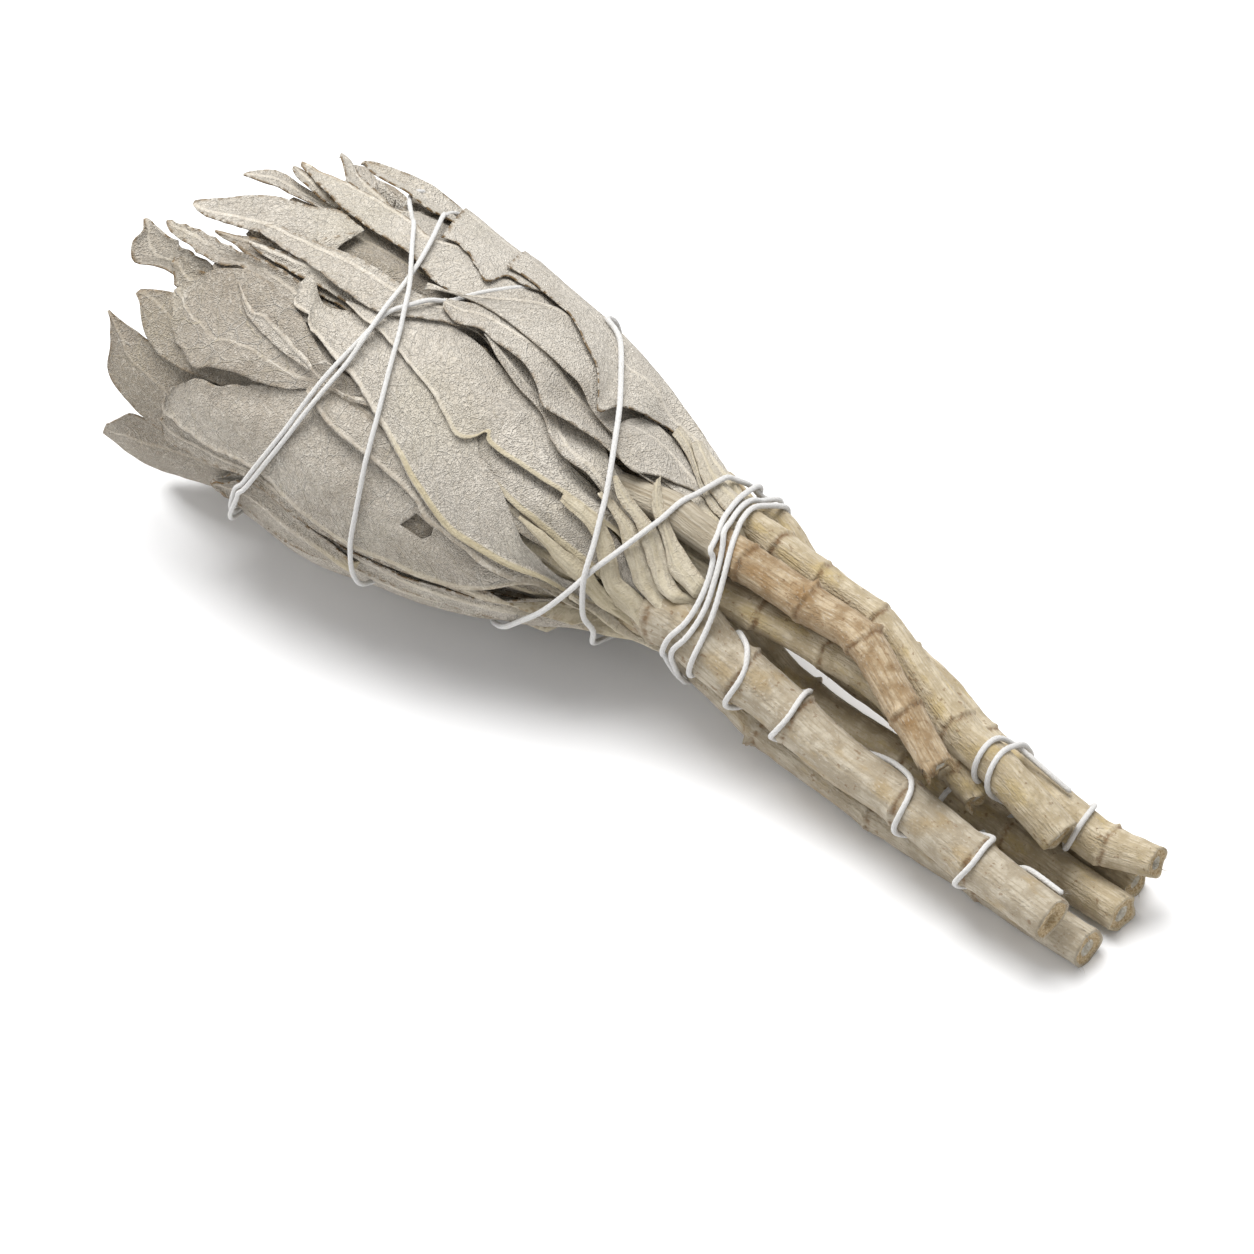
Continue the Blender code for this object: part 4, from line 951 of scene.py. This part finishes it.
def add_strips(bm, rows):
    """Adds strips to a mesh as one grid, and takes out the faces between one strip and the next."""
    made = sheet_grid(bm, np.concatenate(rows))
    between = [face for k in range(STRIP_STEPS, STRIP_STEPS * len(rows), STRIP_STEPS)
               for face in made[2 * k].link_faces if made[2 * k - 2] in face.verts[:]]
    bmesh.ops.delete(bm, geom=between, context="FACES")
    return made


# The stems, in mm: their sides, the shreds at a ring node, how ragged a cut end is (more so where it is
# broken), where the bark of the broken stem begins and how much thicker it is there, and how far apart the
# rings are, which is less near a ring node or an end.
STEM_SIDES = 28
SHREDS_AT_NODE = 14
RAGGED, SPLINTERS = 0.35, {"broken": 2.6, "middle": 1.0}
BARK_START, BARK_THICK = 112.6, 0.35
COARSE_STEP, FINE_STEP, NODE_REACH = 1.1, 0.35, 2.6
# The radius at which the bark's pattern is laid round a stem.
BARK_ROUND = 3.5
# How square a stem is, its grooves (how many halves round it, how deep, how far they wander, over how many
# mm), and the height and size of its bark's drifts and bumps.
SQUARE = 0.035
GROOVES = [(9, 0.07, 1.5, 23), (16, 0.05, 0.8, 11)]
DRIFT, DRIFT_SIZE, BUMP, BUMP_SIZE = 0.16, 8, 0.05, 2.6
# A ring node: its swelling as a share of the radius, its sharp ring, the groove past it and the loose flakes
# before it, each with its height, how far past the ring's middle it is and its width, and its dark stripe.
SWOLLEN, RING, GROOVE, FLAKES = (0.08, 0, 1.9), (0.22, 0, 0.35), (-0.14, 0.8, 0.4), (0.3, -0.2, 0.5)
DARK_AT, DARK_WIDTH = 0.7, 0.45
# Rings across the cut: how far inside the end they lie, in mm, and their share of the radius.
CAP = [(0.0, 0.97), (0.05, 0.88), (0.35, 0.80), (0.30, 0.62), (0.15, 0.48), (0.5, 0.42), (1.1, 0.34),
       (1.3, 0.0)]


def stem_stations(name):
    """The s of a stem's rings: close together at its ring nodes and its cut end."""
    end = PATHS[name][-1, 0]
    stations = [44, 56, 68, 80, 90, 96]
    s = 98.0
    while s < end - 0.2:
        stations.append(s)
        nearest = min(abs(s - node) for node in (*STEMS[name].nodes, end))
        s += FINE_STEP if nearest < NODE_REACH else COARSE_STEP
    return np.array(stations + [end])


def make_stem(name, rng):
    """A dried stem: four sided, grooved along, with ridged ring nodes and a ragged cut end."""
    nodes = STEMS[name].nodes
    stations = stem_stations(name)
    line = placed_at(PATHS[name][:, 0], PATHS[name][:, 1:], stations)
    centre = np.column_stack([stations, line[:, :2]])
    radius = line[:, 2:3]
    s = stations[:, None]
    turns = np.linspace(0, math.tau, STEM_SIDES + 1)[None, :]
    cos, sin = np.cos(turns), np.sin(turns)
    reach = radius * (1 + SQUARE * np.cos(4 * turns + rng.uniform(0, 6)))
    for (halves, deep, wander, length), shift in zip(GROOVES, (rng.uniform(0, 6), 0)):
        reach = reach - deep * np.abs(np.sin(halves * turns + wander * np.sin(s / length) + shift))
    reach = reach + DRIFT * ripple(BARK_ROUND * cos + 0 * s, BARK_ROUND * sin + s / 3, DRIFT_SIZE, rng)
    reach = reach + BUMP * ripple(radius * cos + s / 2, radius * sin + s, BUMP_SIZE, rng)
    if name == "broken":
        ragged = BARK_START + 0.9 * ripple(4 * cos, 4 * sin, 4, rng)
        reach = reach + BARK_THICK * (s > ragged)
    near_node = np.zeros(reach.shape)
    for node in nodes:
        bend = 0.5 * np.sin(turns + rng.uniform(0, 6)) + 0.25 * np.sin(3 * turns + rng.uniform(0, 6))
        away = s - node - bend
        flakes = np.clip(ripple(5 * cos, 5 * sin, 4, rng), 0, 2) ** 2
        for (height, at, width), share in zip((SWOLLEN, RING, GROOVE, FLAKES), (radius, 1, 1, flakes)):
            reach = reach + height * share * bell(away - at, width)
        near_node = np.maximum(near_node, bell(away - DARK_AT, DARK_WIDTH))
    cut = SPLINTERS.get(name, RAGGED) * ripple(4 * cos, 4 * sin, 5, rng)

    # The rings, from the closed end among the leaves to the cut, and what each is made of: bark 0, the rim
    # of the cut 0.15, wood 0.5, pith 1.
    end = centre[-1]
    run = (end - centre[-4]) / np.linalg.norm(end - centre[-4])
    first = np.vstack([centre[:1] - (0.01, 0, 0), centre])
    inside, share = np.array(CAP).T[..., None]
    pith = 0.5 if name == "front" else 1.0
    kinds = np.vstack([0 * first[:, :1], np.where(share > 0.85, 0.15, np.where(share > 0.45, 0.5, pith))])
    radii = np.vstack([0 * turns, reach, reach[-1:] * share])
    spine = np.vstack([first, end - inside * run])
    side, up = frames_along(np.vstack([first, end + run * np.arange(1, len(CAP) + 1)[:, None]]))
    points = rings_round(spine, side, up, radii)
    rough = np.zeros(radii.shape)
    rough[len(s)] = cut
    rough[len(s) + 1:len(s) + 4] = cut * 0.8
    points = points + rough[..., None] * run
    points[..., 2] = np.maximum(points[..., 2], PRESSED)
    bm = bmesh.new()
    place = bm.verts.layers.float_vector.new("stem_place")
    look = bm.verts.layers.float_color.new("stem_look")
    made = sheet_grid(bm, points)
    capped = np.zeros((len(CAP), STEM_SIDES + 1))
    ages = np.vstack([0 * turns, near_node, capped])
    lengths = np.vstack([s[:1], s, s[-1] + capped[:, :1]])
    marks = np.broadcast_arrays(BARK_ROUND * cos, BARK_ROUND * sin, lengths, ages, kinds)
    for vertex, (x, y, length, age, kind) in zip(made, np.stack(marks, axis=-1).reshape(-1, 5).tolist()):
        vertex[place] = (x, y, length)
        vertex[look] = (age, kind, 0.0, 1.0)
    close_tube(bm)

    shreds = []
    for node in (*nodes, end[0] - 0.3):
        k = int(np.argmin(np.abs(stations - node)))
        for _ in range(SHREDS_AT_NODE):
            turn = rng.uniform(0, math.tau)
            out = math.cos(turn) * side[k + 1] + math.sin(turn) * up[k + 1]
            start = centre[k] + out * (reach[k].mean() - 0.1) + run * rng.uniform(-0.7, 0.5)
            sway = np.cross(out, run) * rng.uniform(-1.2, 1.2)
            shreds.append(strip(start, 0.45 * out, run * rng.choice((-1, 1)), sway, rng.uniform(0.4, 1.5),
                                rng.uniform(0.05, 0.2)))
    for vertex in add_strips(bm, shreds):
        vertex[place] = (BARK_ROUND, 0.0, rng.uniform(0, 200))
        vertex[look] = (0.0, 0.0, 0.0, 1.0)
    return bm


def make_stems():
    rng = random.Random(SEED + 3)
    finishes = {colour: stem_material(colour) for colour in STEM_COLOURS}
    for name, stem in STEMS.items():
        bm = make_stem(name, rng)
        bundle_piece("stem_" + name, bm, finishes[stem.colour],
                     ["leafy_stem_" + name])


# The string

def hull_reach(circles, turn):
    """The place at an angle round the circles' centre on the tightest loop round them, and that centre."""
    middle = circles[:, :2].mean(axis=0)
    ray = direction(turn)
    angles = np.radians(np.arange(0, 360, 4))
    normals = np.stack([np.cos(angles), np.sin(angles)], axis=-1)
    support = ((circles[:, :2] - middle) @ normals.T + circles[:, 2:3]).max(axis=0)
    facing = normals @ ray
    reach = (support[facing > 0.05] / facing[facing > 0.05]).min()
    return middle + ray * reach, middle


def string_place(hold, s, turn, rest):
    """Where the string lies against what it holds, and the way out from there. rest is the depth of the
    leaves that it rests on."""
    circles = np.array([stem_at(name, s) for name in HOLDS[hold] if PATHS[name][-1, 0] > s - 1])
    circles[:, 2] += STRING_RADIUS + STRING_GAP
    place, middle = hull_reach(circles, turn)
    if hold == "bundle" and s < NECK[1]:
        on_leaves = shell(s, turn, rest - STRING_RADIUS - STRING_GAP)[1:]
        centre = centre_at(s)
        if s < NECK[0] or np.linalg.norm(on_leaves - centre) > np.linalg.norm(place - centre):
            place, middle = on_leaves, centre
    out = place - middle
    return np.array([s, *place, 0, *(out / np.linalg.norm(out))])


def route_parts():
    """The string's route in pieces that lie on one hold, as rows of s and turn."""
    parts = []
    last = 0
    for hold, places in ROUTE:
        seen = hold == "seen"
        if seen:
            hold = "bundle"
            places = traced_places(places, -STRING_RADIUS)
        if not parts or parts[-1][0] != hold:
            parts.append((hold, []))
        for s, turn in places:
            if seen:
                turn += 360 * round((last - turn) / 360)
            parts[-1][1].append((s, turn * ROUTE_DEGREE))
            last = turn
    return [(hold, smooth_path(rows, 0.8) / (1, ROUTE_DEGREE)) for hold, rows in parts]


def resample(rows, step):
    """The rows again, at steps of this length along the line through their first three columns."""
    along = run_along(rows[:, :3])
    return placed_at(along, rows, np.linspace(0, along[-1], max(2, round(along[-1] / step))))


def string_path(depths):
    """The whole string's centre line, raised where it crosses over itself."""
    rows = []
    for hold, part in route_parts():
        on_leaves = hold == "bundle"
        rests = np.array([depths.surface(s, turn) if on_leaves and s < NECK[1] else 0.0 for s, turn in part])
        taut = rests.copy()
        for _ in range(TAUT_ROUNDS):
            taut[1:-1] = np.minimum(rests[1:-1], (taut[:-2] + taut[2:]) / 2 + CHORD)
        for first, last in COVERED if on_leaves else ():
            inside = np.minimum(part[:, 1] - first, last - part[:, 1])
            taut = taut + COVER_DEPTH * np.clip(inside / COVER_EASE + 0.5, 0, 1)
        rows += [string_place(hold, s, turn, rest) for (s, turn), rest in zip(part, taut)]
    places = resample(np.array(rows), 1.0)
    for _ in range(3):
        places[1:-1] = (places[:-2] + 2 * places[1:-1] + places[2:]) / 4
    rise = np.zeros(len(places))
    for i in range(CROSSING_APART + 2, len(places)):
        before = slice(0, i - CROSSING_APART)
        away = np.linalg.norm(places[before, :3] - places[i, :3], axis=1)
        near = away < 2 * STRING_RADIUS * table(TIGHT_KNOTS, 1, places[i, 0]) + 0.06
        if near.any():
            rise[i] = rise[before][near].max() + CROSSING_RISE
    for way in (rise, rise[::-1]):
        for i in range(1, len(way)):
            way[i] = max(way[i], way[i - 1] - CROSSING_SLOPE)
    rise = window(rise[:, None], (2, 0), np.mean)
    return places[:, :3] + rise * places[:, 3:]


STRING_SIDES = 12
STRING_STEP = 0.5
PLIES, TWIST_LENGTH = 3, 3.4
# Loose fibres: one to this many mm of string, their longest reach out from it in mm, and half their width,
# and how many more of them a frayed end has, over which length and how much longer they are.
FIBRE_EVERY, FIBRE_REACH, FIBRE_HALF = 0.7, 0.75, 0.017
FRAY_FIBRES, FRAY_LENGTH, FRAY_LONGER = 16, 1.2, 1.7


def make_string(depths):
    """A soft cotton string of three plies twisted together."""
    path = resample(smooth_path(string_path(depths), 0.5), STRING_STEP)
    along = np.arange(len(path))[:, None] * STRING_STEP
    turns = np.linspace(0, math.tau, STRING_SIDES + 1)[None, :]
    twist = math.tau * along / TWIST_LENGTH
    radii = STRING_RADIUS * (0.86 + 0.15 * np.abs(np.cos(PLIES / 2 * (turns - twist))))
    radii = radii * table(TIGHT_KNOTS, 1, path[:, :1])
    radii[[0, -1]] = 0
    bm = bmesh.new()
    place = bm.verts.layers.float_vector.new("string_place")
    made = sheet_grid(bm, rings_round(path, *frames_along(path), radii))
    marks = np.broadcast_arrays(np.cos(turns), np.sin(turns), along)
    for vertex, mark in zip(made, np.stack(marks, axis=-1).reshape(-1, 3).tolist()):
        vertex[place] = mark
    close_tube(bm)
    add_fibres(bm, place, path)
    bundle_piece("cotton_string_twisted", bm, string_material(), ["cotton_string"])


def add_fibres(bm, place, path):
    """Fine loose fibres that stand out from the string, more of them at its frayed ends."""
    rng = random.Random(SEED + 4)
    side, up = frames_along(path)
    run = units(np.gradient(path, axis=0))
    length = len(path) * STRING_STEP
    starts = [rng.uniform(1, length - 1) for _ in range(int(length / FIBRE_EVERY))]
    starts += [rng.uniform(0, FRAY_LENGTH) for _ in range(FRAY_FIBRES)]
    starts += [length - rng.uniform(0, FRAY_LENGTH) for _ in range(FRAY_FIBRES)]
    rows = []
    for start in starts:
        k = min(len(path) - 1, int(start / STRING_STEP))
        turn = rng.uniform(0, math.tau)
        out = math.cos(turn) * side[k] + math.sin(turn) * up[k]
        frayed = start < FRAY_LENGTH + 0.1 or start > length - FRAY_LENGTH - 0.1
        way = run[k] * (rng.choice((-1, 1)) if not frayed else (-1 if start < 5 else 1))
        reach = FIBRE_REACH * rng.uniform(0.35, 1.0) * (FRAY_LONGER if frayed else 1)
        sway = np.cross(out, way) * rng.uniform(-0.6, 0.6)
        rows.append(strip(path[k] + 0.8 * STRING_RADIUS * out, out, way, sway, reach, FIBRE_HALF))
    for vertex in add_strips(bm, rows):
        vertex[place] = (1.0, 0.0, 0.0)


# Materials

# Each stem's bark, its grooves and its ochre patches.
STEM_COLOURS = {
    "pale": ((0.50, 0.445, 0.35), (0.34, 0.285, 0.205), (0.37, 0.275, 0.145)),
    "tan": ((0.59, 0.51, 0.375), (0.40, 0.325, 0.21), (0.47, 0.36, 0.165)),
    "brown": ((0.50, 0.40, 0.27), (0.29, 0.20, 0.11), (0.27, 0.16, 0.065)),
}
STEM_FLECK = (0.19, 0.11, 0.05)
STEM_BLOOM = (0.64, 0.60, 0.53)
WOOD = ((0.34, 0.23, 0.11), (0.58, 0.47, 0.30))
PITH = ((0.60, 0.55, 0.44), (0.80, 0.77, 0.70))
LEAF_PALE = (0.72, 0.67, 0.59)
LEAF_DEEP = (0.31, 0.262, 0.205)
LEAF_LIGHT = (0.80, 0.755, 0.675)
LEAF_SHADE = (0.34, 0.30, 0.24)
LEAF_SALLOW = (0.50, 0.455, 0.33)
LEAF_VEIN = (0.59, 0.515, 0.345)
LEAF_STALK = (0.44, 0.37, 0.22)
LEAF_BROWN = (0.20, 0.13, 0.06)
COTTON = ((0.60, 0.59, 0.57), (0.74, 0.73, 0.715))
COTTON_SOILED = (0.64, 0.62, 0.57)
FLOOR_WHITE = (0.92, 0.92, 0.925, 1)
# Leaves lie this far apart in the leaf pattern, and their brown rim is this many mm wide.
LEAF_APART, RIM = 17.0, 0.8
VEIN_APART = 6.2


class Recipe:
    """A material's node tree, with short ways to add nodes to it."""

    def __init__(self, name):
        self.material = bpy.data.materials.new(name)
        self.material.use_nodes = True
        self.tree = self.material.node_tree
        self.shader = self.tree.nodes["Principled BSDF"]

    def fill(self, made, inputs):
        for key, value in inputs.items():
            if isinstance(value, bpy.types.NodeSocket):
                self.tree.links.new(value, made.inputs[key])
            else:
                made.inputs[key].default_value = value

    def node(self, kind, inputs=(), **settings):
        made = self.tree.nodes.new(kind)
        for key, value in settings.items():
            setattr(made, key, value)
        self.fill(made, dict(inputs))
        return made

    def attribute(self, name, output):
        return self.node("ShaderNodeAttribute", attribute_name=name).outputs[output]

    def object_mm(self):
        """Places on the object in mm."""
        place = self.node("ShaderNodeTexCoord").outputs["Object"]
        return self.node("ShaderNodeVectorMath", {0: place, "Scale": 1000.0}, operation="SCALE").outputs[0]

    def sum(self, operation, *values):
        return self.node("ShaderNodeMath", dict(enumerate(values)), operation=operation).outputs[0]

    def times(self, *values):
        total, *rest = values
        for value in rest:
            total = self.sum("MULTIPLY", total, value)
        return total

    def total(self, *parts):
        """The sum of values, each with its weight."""
        total = None
        for part in parts:
            part = self.times(*part)
            total = part if total is None else self.sum("ADD", total, part)
        return total

    def ramp(self, value, low, high, to_low=0.0, to_high=1.0):
        """Goes smoothly from one number to another as the value goes from low to high."""
        inputs = {"Value": value, "From Min": low, "From Max": high, "To Min": to_low, "To Max": to_high}
        return self.node("ShaderNodeMapRange", inputs, interpolation_type="SMOOTHSTEP").outputs[0]

    def noise(self, vector, scale, detail=3.0, output=0):
        inputs = {"Vector": vector, "Scale": scale, "Detail": detail}
        return self.node("ShaderNodeTexNoise", inputs).outputs[output]

    def along(self, vector, stretch, detail):
        """Noise that is stretched by its own scale each way."""
        return self.noise(self.stretched(vector, stretch), 1.0, detail)

    def cracks(self, vector, scale):
        """The distance from the edges of a net of cells."""
        inputs = {"Vector": vector, "Scale": scale}
        return self.node("ShaderNodeTexVoronoi", inputs, feature="DISTANCE_TO_EDGE").outputs["Distance"]

    def mix(self, factor, first, second):
        colours = {}
        for key, value in ((6, first), (7, second)):
            colours[key] = value if isinstance(value, bpy.types.NodeSocket) else (*value, 1.0)
        return self.node("ShaderNodeMix", {0: factor, **colours}, data_type="RGBA").outputs[2]

    def layers(self, colour, *coats):
        """The colour with each coat laid over it in turn, by its factor."""
        for factor, coat in coats:
            colour = self.mix(factor, colour, coat)
        return colour

    def stretched(self, vector, scale):
        return self.node("ShaderNodeMapping", {"Vector": vector, "Scale": scale}).outputs[0]

    def finish(self, colour, height, distance, roughness, sheen):
        bump = self.node("ShaderNodeBump", {"Height": height, "Distance": distance, "Strength": 1.0})
        self.fill(self.shader, {
            "Normal": bump.outputs[0], "Base Color": colour, "Roughness": roughness, "Sheen Weight": sheen,
            "Sheen Roughness": 0.5, "Specular IOR Level": 0.2,
        })
        return self.material


def leaf_material():
    """Felted grey leaf: pale midrib, curved side veins, a net of fine veins, pebbled felt, brown rims."""
    r = Recipe("dried_sage_leaf")
    flat = r.attribute("leaf_place", "Vector")
    look = r.node("ShaderNodeSeparateColor", {0: r.attribute("leaf_look", "Color")}).outputs
    tone, browned, petiole = look[0], look[1], look[2]
    veins = r.attribute("leaf_look", "Alpha")
    x, y, _ = r.node("ShaderNodeSeparateXYZ", {0: flat}).outputs
    solid = r.object_mm()
    patches = r.noise(solid, 0.08)
    mottle = r.noise(solid, 0.55, 5.0)
    felt = r.noise(solid, 2.1, 1.0)

    side = r.sum("ABSOLUTE", x)
    phase = r.total((y,), (side, -0.85), (side, side, -0.035), (r.noise(flat, 0.13, 2.0), 9.0))
    phase = r.sum("FRACT", r.sum("DIVIDE", phase, VEIN_APART))
    side_vein = r.ramp(r.sum("ABSOLUTE", r.sum("SUBTRACT", phase, 0.5)), 0.0, 0.05, 1.0, 0.0)
    side_vein = r.times(side_vein, r.ramp(side, 5.0, 10.0, 1.0, 0.2), veins)
    drift = r.noise(flat, 0.5, 2.0, "Color")
    warp = r.node("ShaderNodeVectorMath", {0: flat, 1: drift}, operation="ADD").outputs[0]
    wide_net = r.ramp(r.cracks(warp, 0.22), 0.0, 0.035, 1.0, 0.0)
    wide_net = r.times(wide_net, veins, r.ramp(patches, 0.42, 0.6, 0.35, 1.0))
    fine_net = r.ramp(r.cracks(warp, 0.62), 0.0, 0.07, 1.0, 0.0)
    pebble = r.ramp(r.cracks(flat, 2.4), 0.02, 0.35)
    pits = r.ramp(r.noise(solid, 1.1, 2.0), 0.66, 0.72, 0.0, 0.5)
    rib = r.ramp(r.sum("DIVIDE", side, r.attribute("rib_width", "Fac")), 0.55, 1.05, 1.0, 0.0)
    rib = r.sum("MAXIMUM", rib, r.ramp(petiole, 0.6, 1.0))
    streaks = r.along(flat, (2.2, 0.12, 1.0), 4.0)
    ribbed = r.mix(r.ramp(streaks, 0.35, 0.65), LEAF_STALK, LEAF_VEIN)
    tinted = r.ramp(r.attribute("rib_tint", "Fac"), 0.2, 1.0, 0.03, 0.85)
    tinted = r.sum("MAXIMUM", tinted, r.times(petiole, 0.6))
    spots = r.ramp(r.noise(solid, 0.8), 0.44, 0.56)

    light = r.total((patches, 0.6), (tone, 0.55), (mottle, 0.35))
    colour = r.layers(
        r.mix(r.ramp(light, 0.32, 1.02), LEAF_DEEP, LEAF_PALE),
        (r.times(r.ramp(r.noise(solid, 0.05, 2.0), 0.5, 0.75), 0.3), LEAF_SALLOW),
        (r.ramp(felt, 0.50, 0.30, 0.0, 0.40), LEAF_SHADE), (r.ramp(felt, 0.52, 0.75, 0.0, 0.35), LEAF_LIGHT),
        (r.ramp(pebble, 0.0, 0.6, 0.30, 0.0), LEAF_SHADE), (pits, LEAF_SHADE),
        (r.times(side_vein, 0.30), LEAF_VEIN), (r.times(wide_net, 0.55), LEAF_LIGHT),
        (r.times(fine_net, 0.18), LEAF_LIGHT), (r.times(rib, tinted), ribbed),
        (r.times(browned, spots, 1.2), LEAF_BROWN),
    )
    relief = r.total((side_vein, 0.24), (wide_net, 0.36), (pits, -0.15), (fine_net, 0.13), (pebble, 0.17),
                     (felt, 0.25))
    plain = r.sum("SUBTRACT", 1.0, r.times(rib, 0.75))
    relief = r.total((relief, plain), (r.noise(solid, 0.7), 0.28), (streaks, rib, 0.25))
    return r.finish(colour, relief, 0.001, r.ramp(mottle, 0.3, 0.7, 0.85, 0.98), 0.15)


def stem_material(name):
    """Dried stem: rough bark striped along, patches of ochre, brown flecks, dark rings at the nodes, and a
    pale pith in a ring of wood at the cut."""
    base, deep, ochre = STEM_COLOURS[name]
    r = Recipe("sage_stem_" + name)
    flat = r.attribute("stem_place", "Vector")
    age, cut, _ = r.node("ShaderNodeSeparateColor", {0: r.attribute("stem_look", "Color")}).outputs
    solid = r.object_mm()
    stripes = r.along(flat, (2.2, 2.2, 0.12), 5.0)
    blotch = r.along(flat, (0.30, 0.30, 0.12), 4.0)
    grain = r.along(flat, (3.0, 3.0, 1.3), 4.0)
    fleck = r.noise(solid, 0.8, 5.0)
    crust = r.ramp(r.cracks(r.stretched(flat, (2.0, 2.0, 0.9)), 1.0), 0.0, 0.3)
    colour = r.layers(
        r.mix(r.ramp(r.noise(solid, 0.35, 4.0), 0.35, 0.65), deep, base),
        (r.ramp(stripes, 0.40, 0.56, 0.75, 0.0), deep), (r.ramp(blotch, 0.52, 0.68, 0.0, 0.6), ochre),
        (r.ramp(grain, 0.55, 0.75, 0.0, 0.35), STEM_BLOOM), (r.ramp(grain, 0.45, 0.25, 0.0, 0.4), deep),
        (r.ramp(fleck, 0.62, 0.70, 0.0, 0.6), STEM_FLECK),
    )
    if name == "brown":
        length = r.node("ShaderNodeSeparateXYZ", {0: flat}).outputs[2]
        torn = r.total((length,), (r.noise(flat, 0.7, 2.0), 3.0))
        bare = r.mix(r.ramp(stripes, 0.35, 0.65), STEM_COLOURS["pale"][1], STEM_COLOURS["pale"][0])
        colour = r.mix(r.ramp(torn, BARK_START + 1.2, BARK_START + 1.6), bare, colour)
    wood, pith = (r.mix(r.ramp(r.noise(solid, scale), 0.3, 0.7), *tones)
                  for scale, tones in ((2.5, WOOD), (2.0, PITH)))
    colour = r.layers(colour, (r.times(age, r.ramp(fleck, 0.40, 0.58, 0.15, 0.85)), STEM_FLECK),
                      (r.ramp(cut, 0.1, 0.4), wood), (r.ramp(cut, 0.6, 0.9), pith))
    relief = r.total((stripes, 0.30), (grain, 0.17), (crust, 0.05), (fleck, 0.22))
    return r.finish(colour, relief, 0.001, r.ramp(stripes, 0.3, 0.7, 0.8, 0.95), 0.1)


def string_material():
    """Soft white cotton, with fine fibres that follow the twist."""
    r = Recipe("white_cotton_string")
    fibres = r.along(r.attribute("string_place", "Vector"), (3.0, 3.0, 2.2), 4.0)
    cloud = r.noise(r.object_mm(), 0.15)
    colour = r.mix(r.ramp(fibres, 0.3, 0.7), *COTTON)
    colour = r.mix(r.times(r.ramp(cloud, 0.5, 0.7), 0.3), colour, COTTON_SOILED)
    return r.finish(colour, fibres, 0.0002, r.ramp(cloud, 0.3, 0.7, 0.85, 0.95), 0.4)


# The stage, in mm: each light's place, size and power, the camera's target and its distance from it

FLOOR_HALF = 4000.0
WORLD_LIGHT = 0.5
LIGHTS = {"key": ((-330, 170, 1220), 900, 20.8), "fill": ((-900, -700, 420), 350, 2.2)}
LIGHT_TARGET = (0, 0, 20)
CAMERA_TARGET = (-1.3, -6.2, 15.0)
CAMERA_DISTANCE = 3573.0
LENS = 600


def make_floor():
    bm = bmesh.new()
    bmesh.ops.create_grid(bm, x_segments=1, y_segments=1, size=FLOOR_HALF * MM)
    r = Recipe("pale_floor")
    r.fill(r.shader, {"Base Color": FLOOR_WHITE, "Roughness": 0.9})
    floor = object_of("floor", bm, r.material)


def aim(thing, place, target):
    """Puts a light or a camera at a place in mm, turned so that it looks at a point, with up kept up."""
    thing.location = [value * MM for value in place]
    way = Vector([value * MM for value in target]) - thing.location
    thing.rotation_euler = way.to_track_quat("-Z", "Y").to_euler()


def make_lights():
    world = bpy.data.worlds.new("studio")
    world.use_nodes = True
    background = world.node_tree.nodes["Background"]
    background.inputs[0].default_value = (1, 1, 1, 1)
    background.inputs[1].default_value = WORLD_LIGHT
    bpy.context.scene.world = world
    for name, (place, size, power) in LIGHTS.items():
        data = bpy.data.lights.new(name, "AREA")
        data.size = size * MM
        data.energy = power
        aim(link_new(name, data), place, LIGHT_TARGET)


def make_camera():
    data = bpy.data.cameras.new("camera")
    data.lens = LENS
    data.sensor_width = 36
    data.clip_start = 0.01
    camera = link_new("camera", data)
    a, e = math.radians(AZIMUTH), math.radians(ELEVATION)
    back = (math.sin(a) * math.cos(e), -math.cos(a) * math.cos(e), math.sin(e))
    aim(camera, [t + CAMERA_DISTANCE * b for t, b in zip(CAMERA_TARGET, back)], CAMERA_TARGET)
    bpy.context.scene.camera = camera


def main():
    depths = Depths()
    bundle_rows = np.vstack([rows for hold, rows in route_parts() if hold == "bundle"])
    depths.press(bundle_rows[bundle_rows[:, 0] < NECK[0]])
    make_leaves(depths)
    make_stems()
    make_string(depths)
    make_floor()
    make_lights()
    make_camera()
    bpy.context.scene.view_settings.view_transform = "Standard"


main()
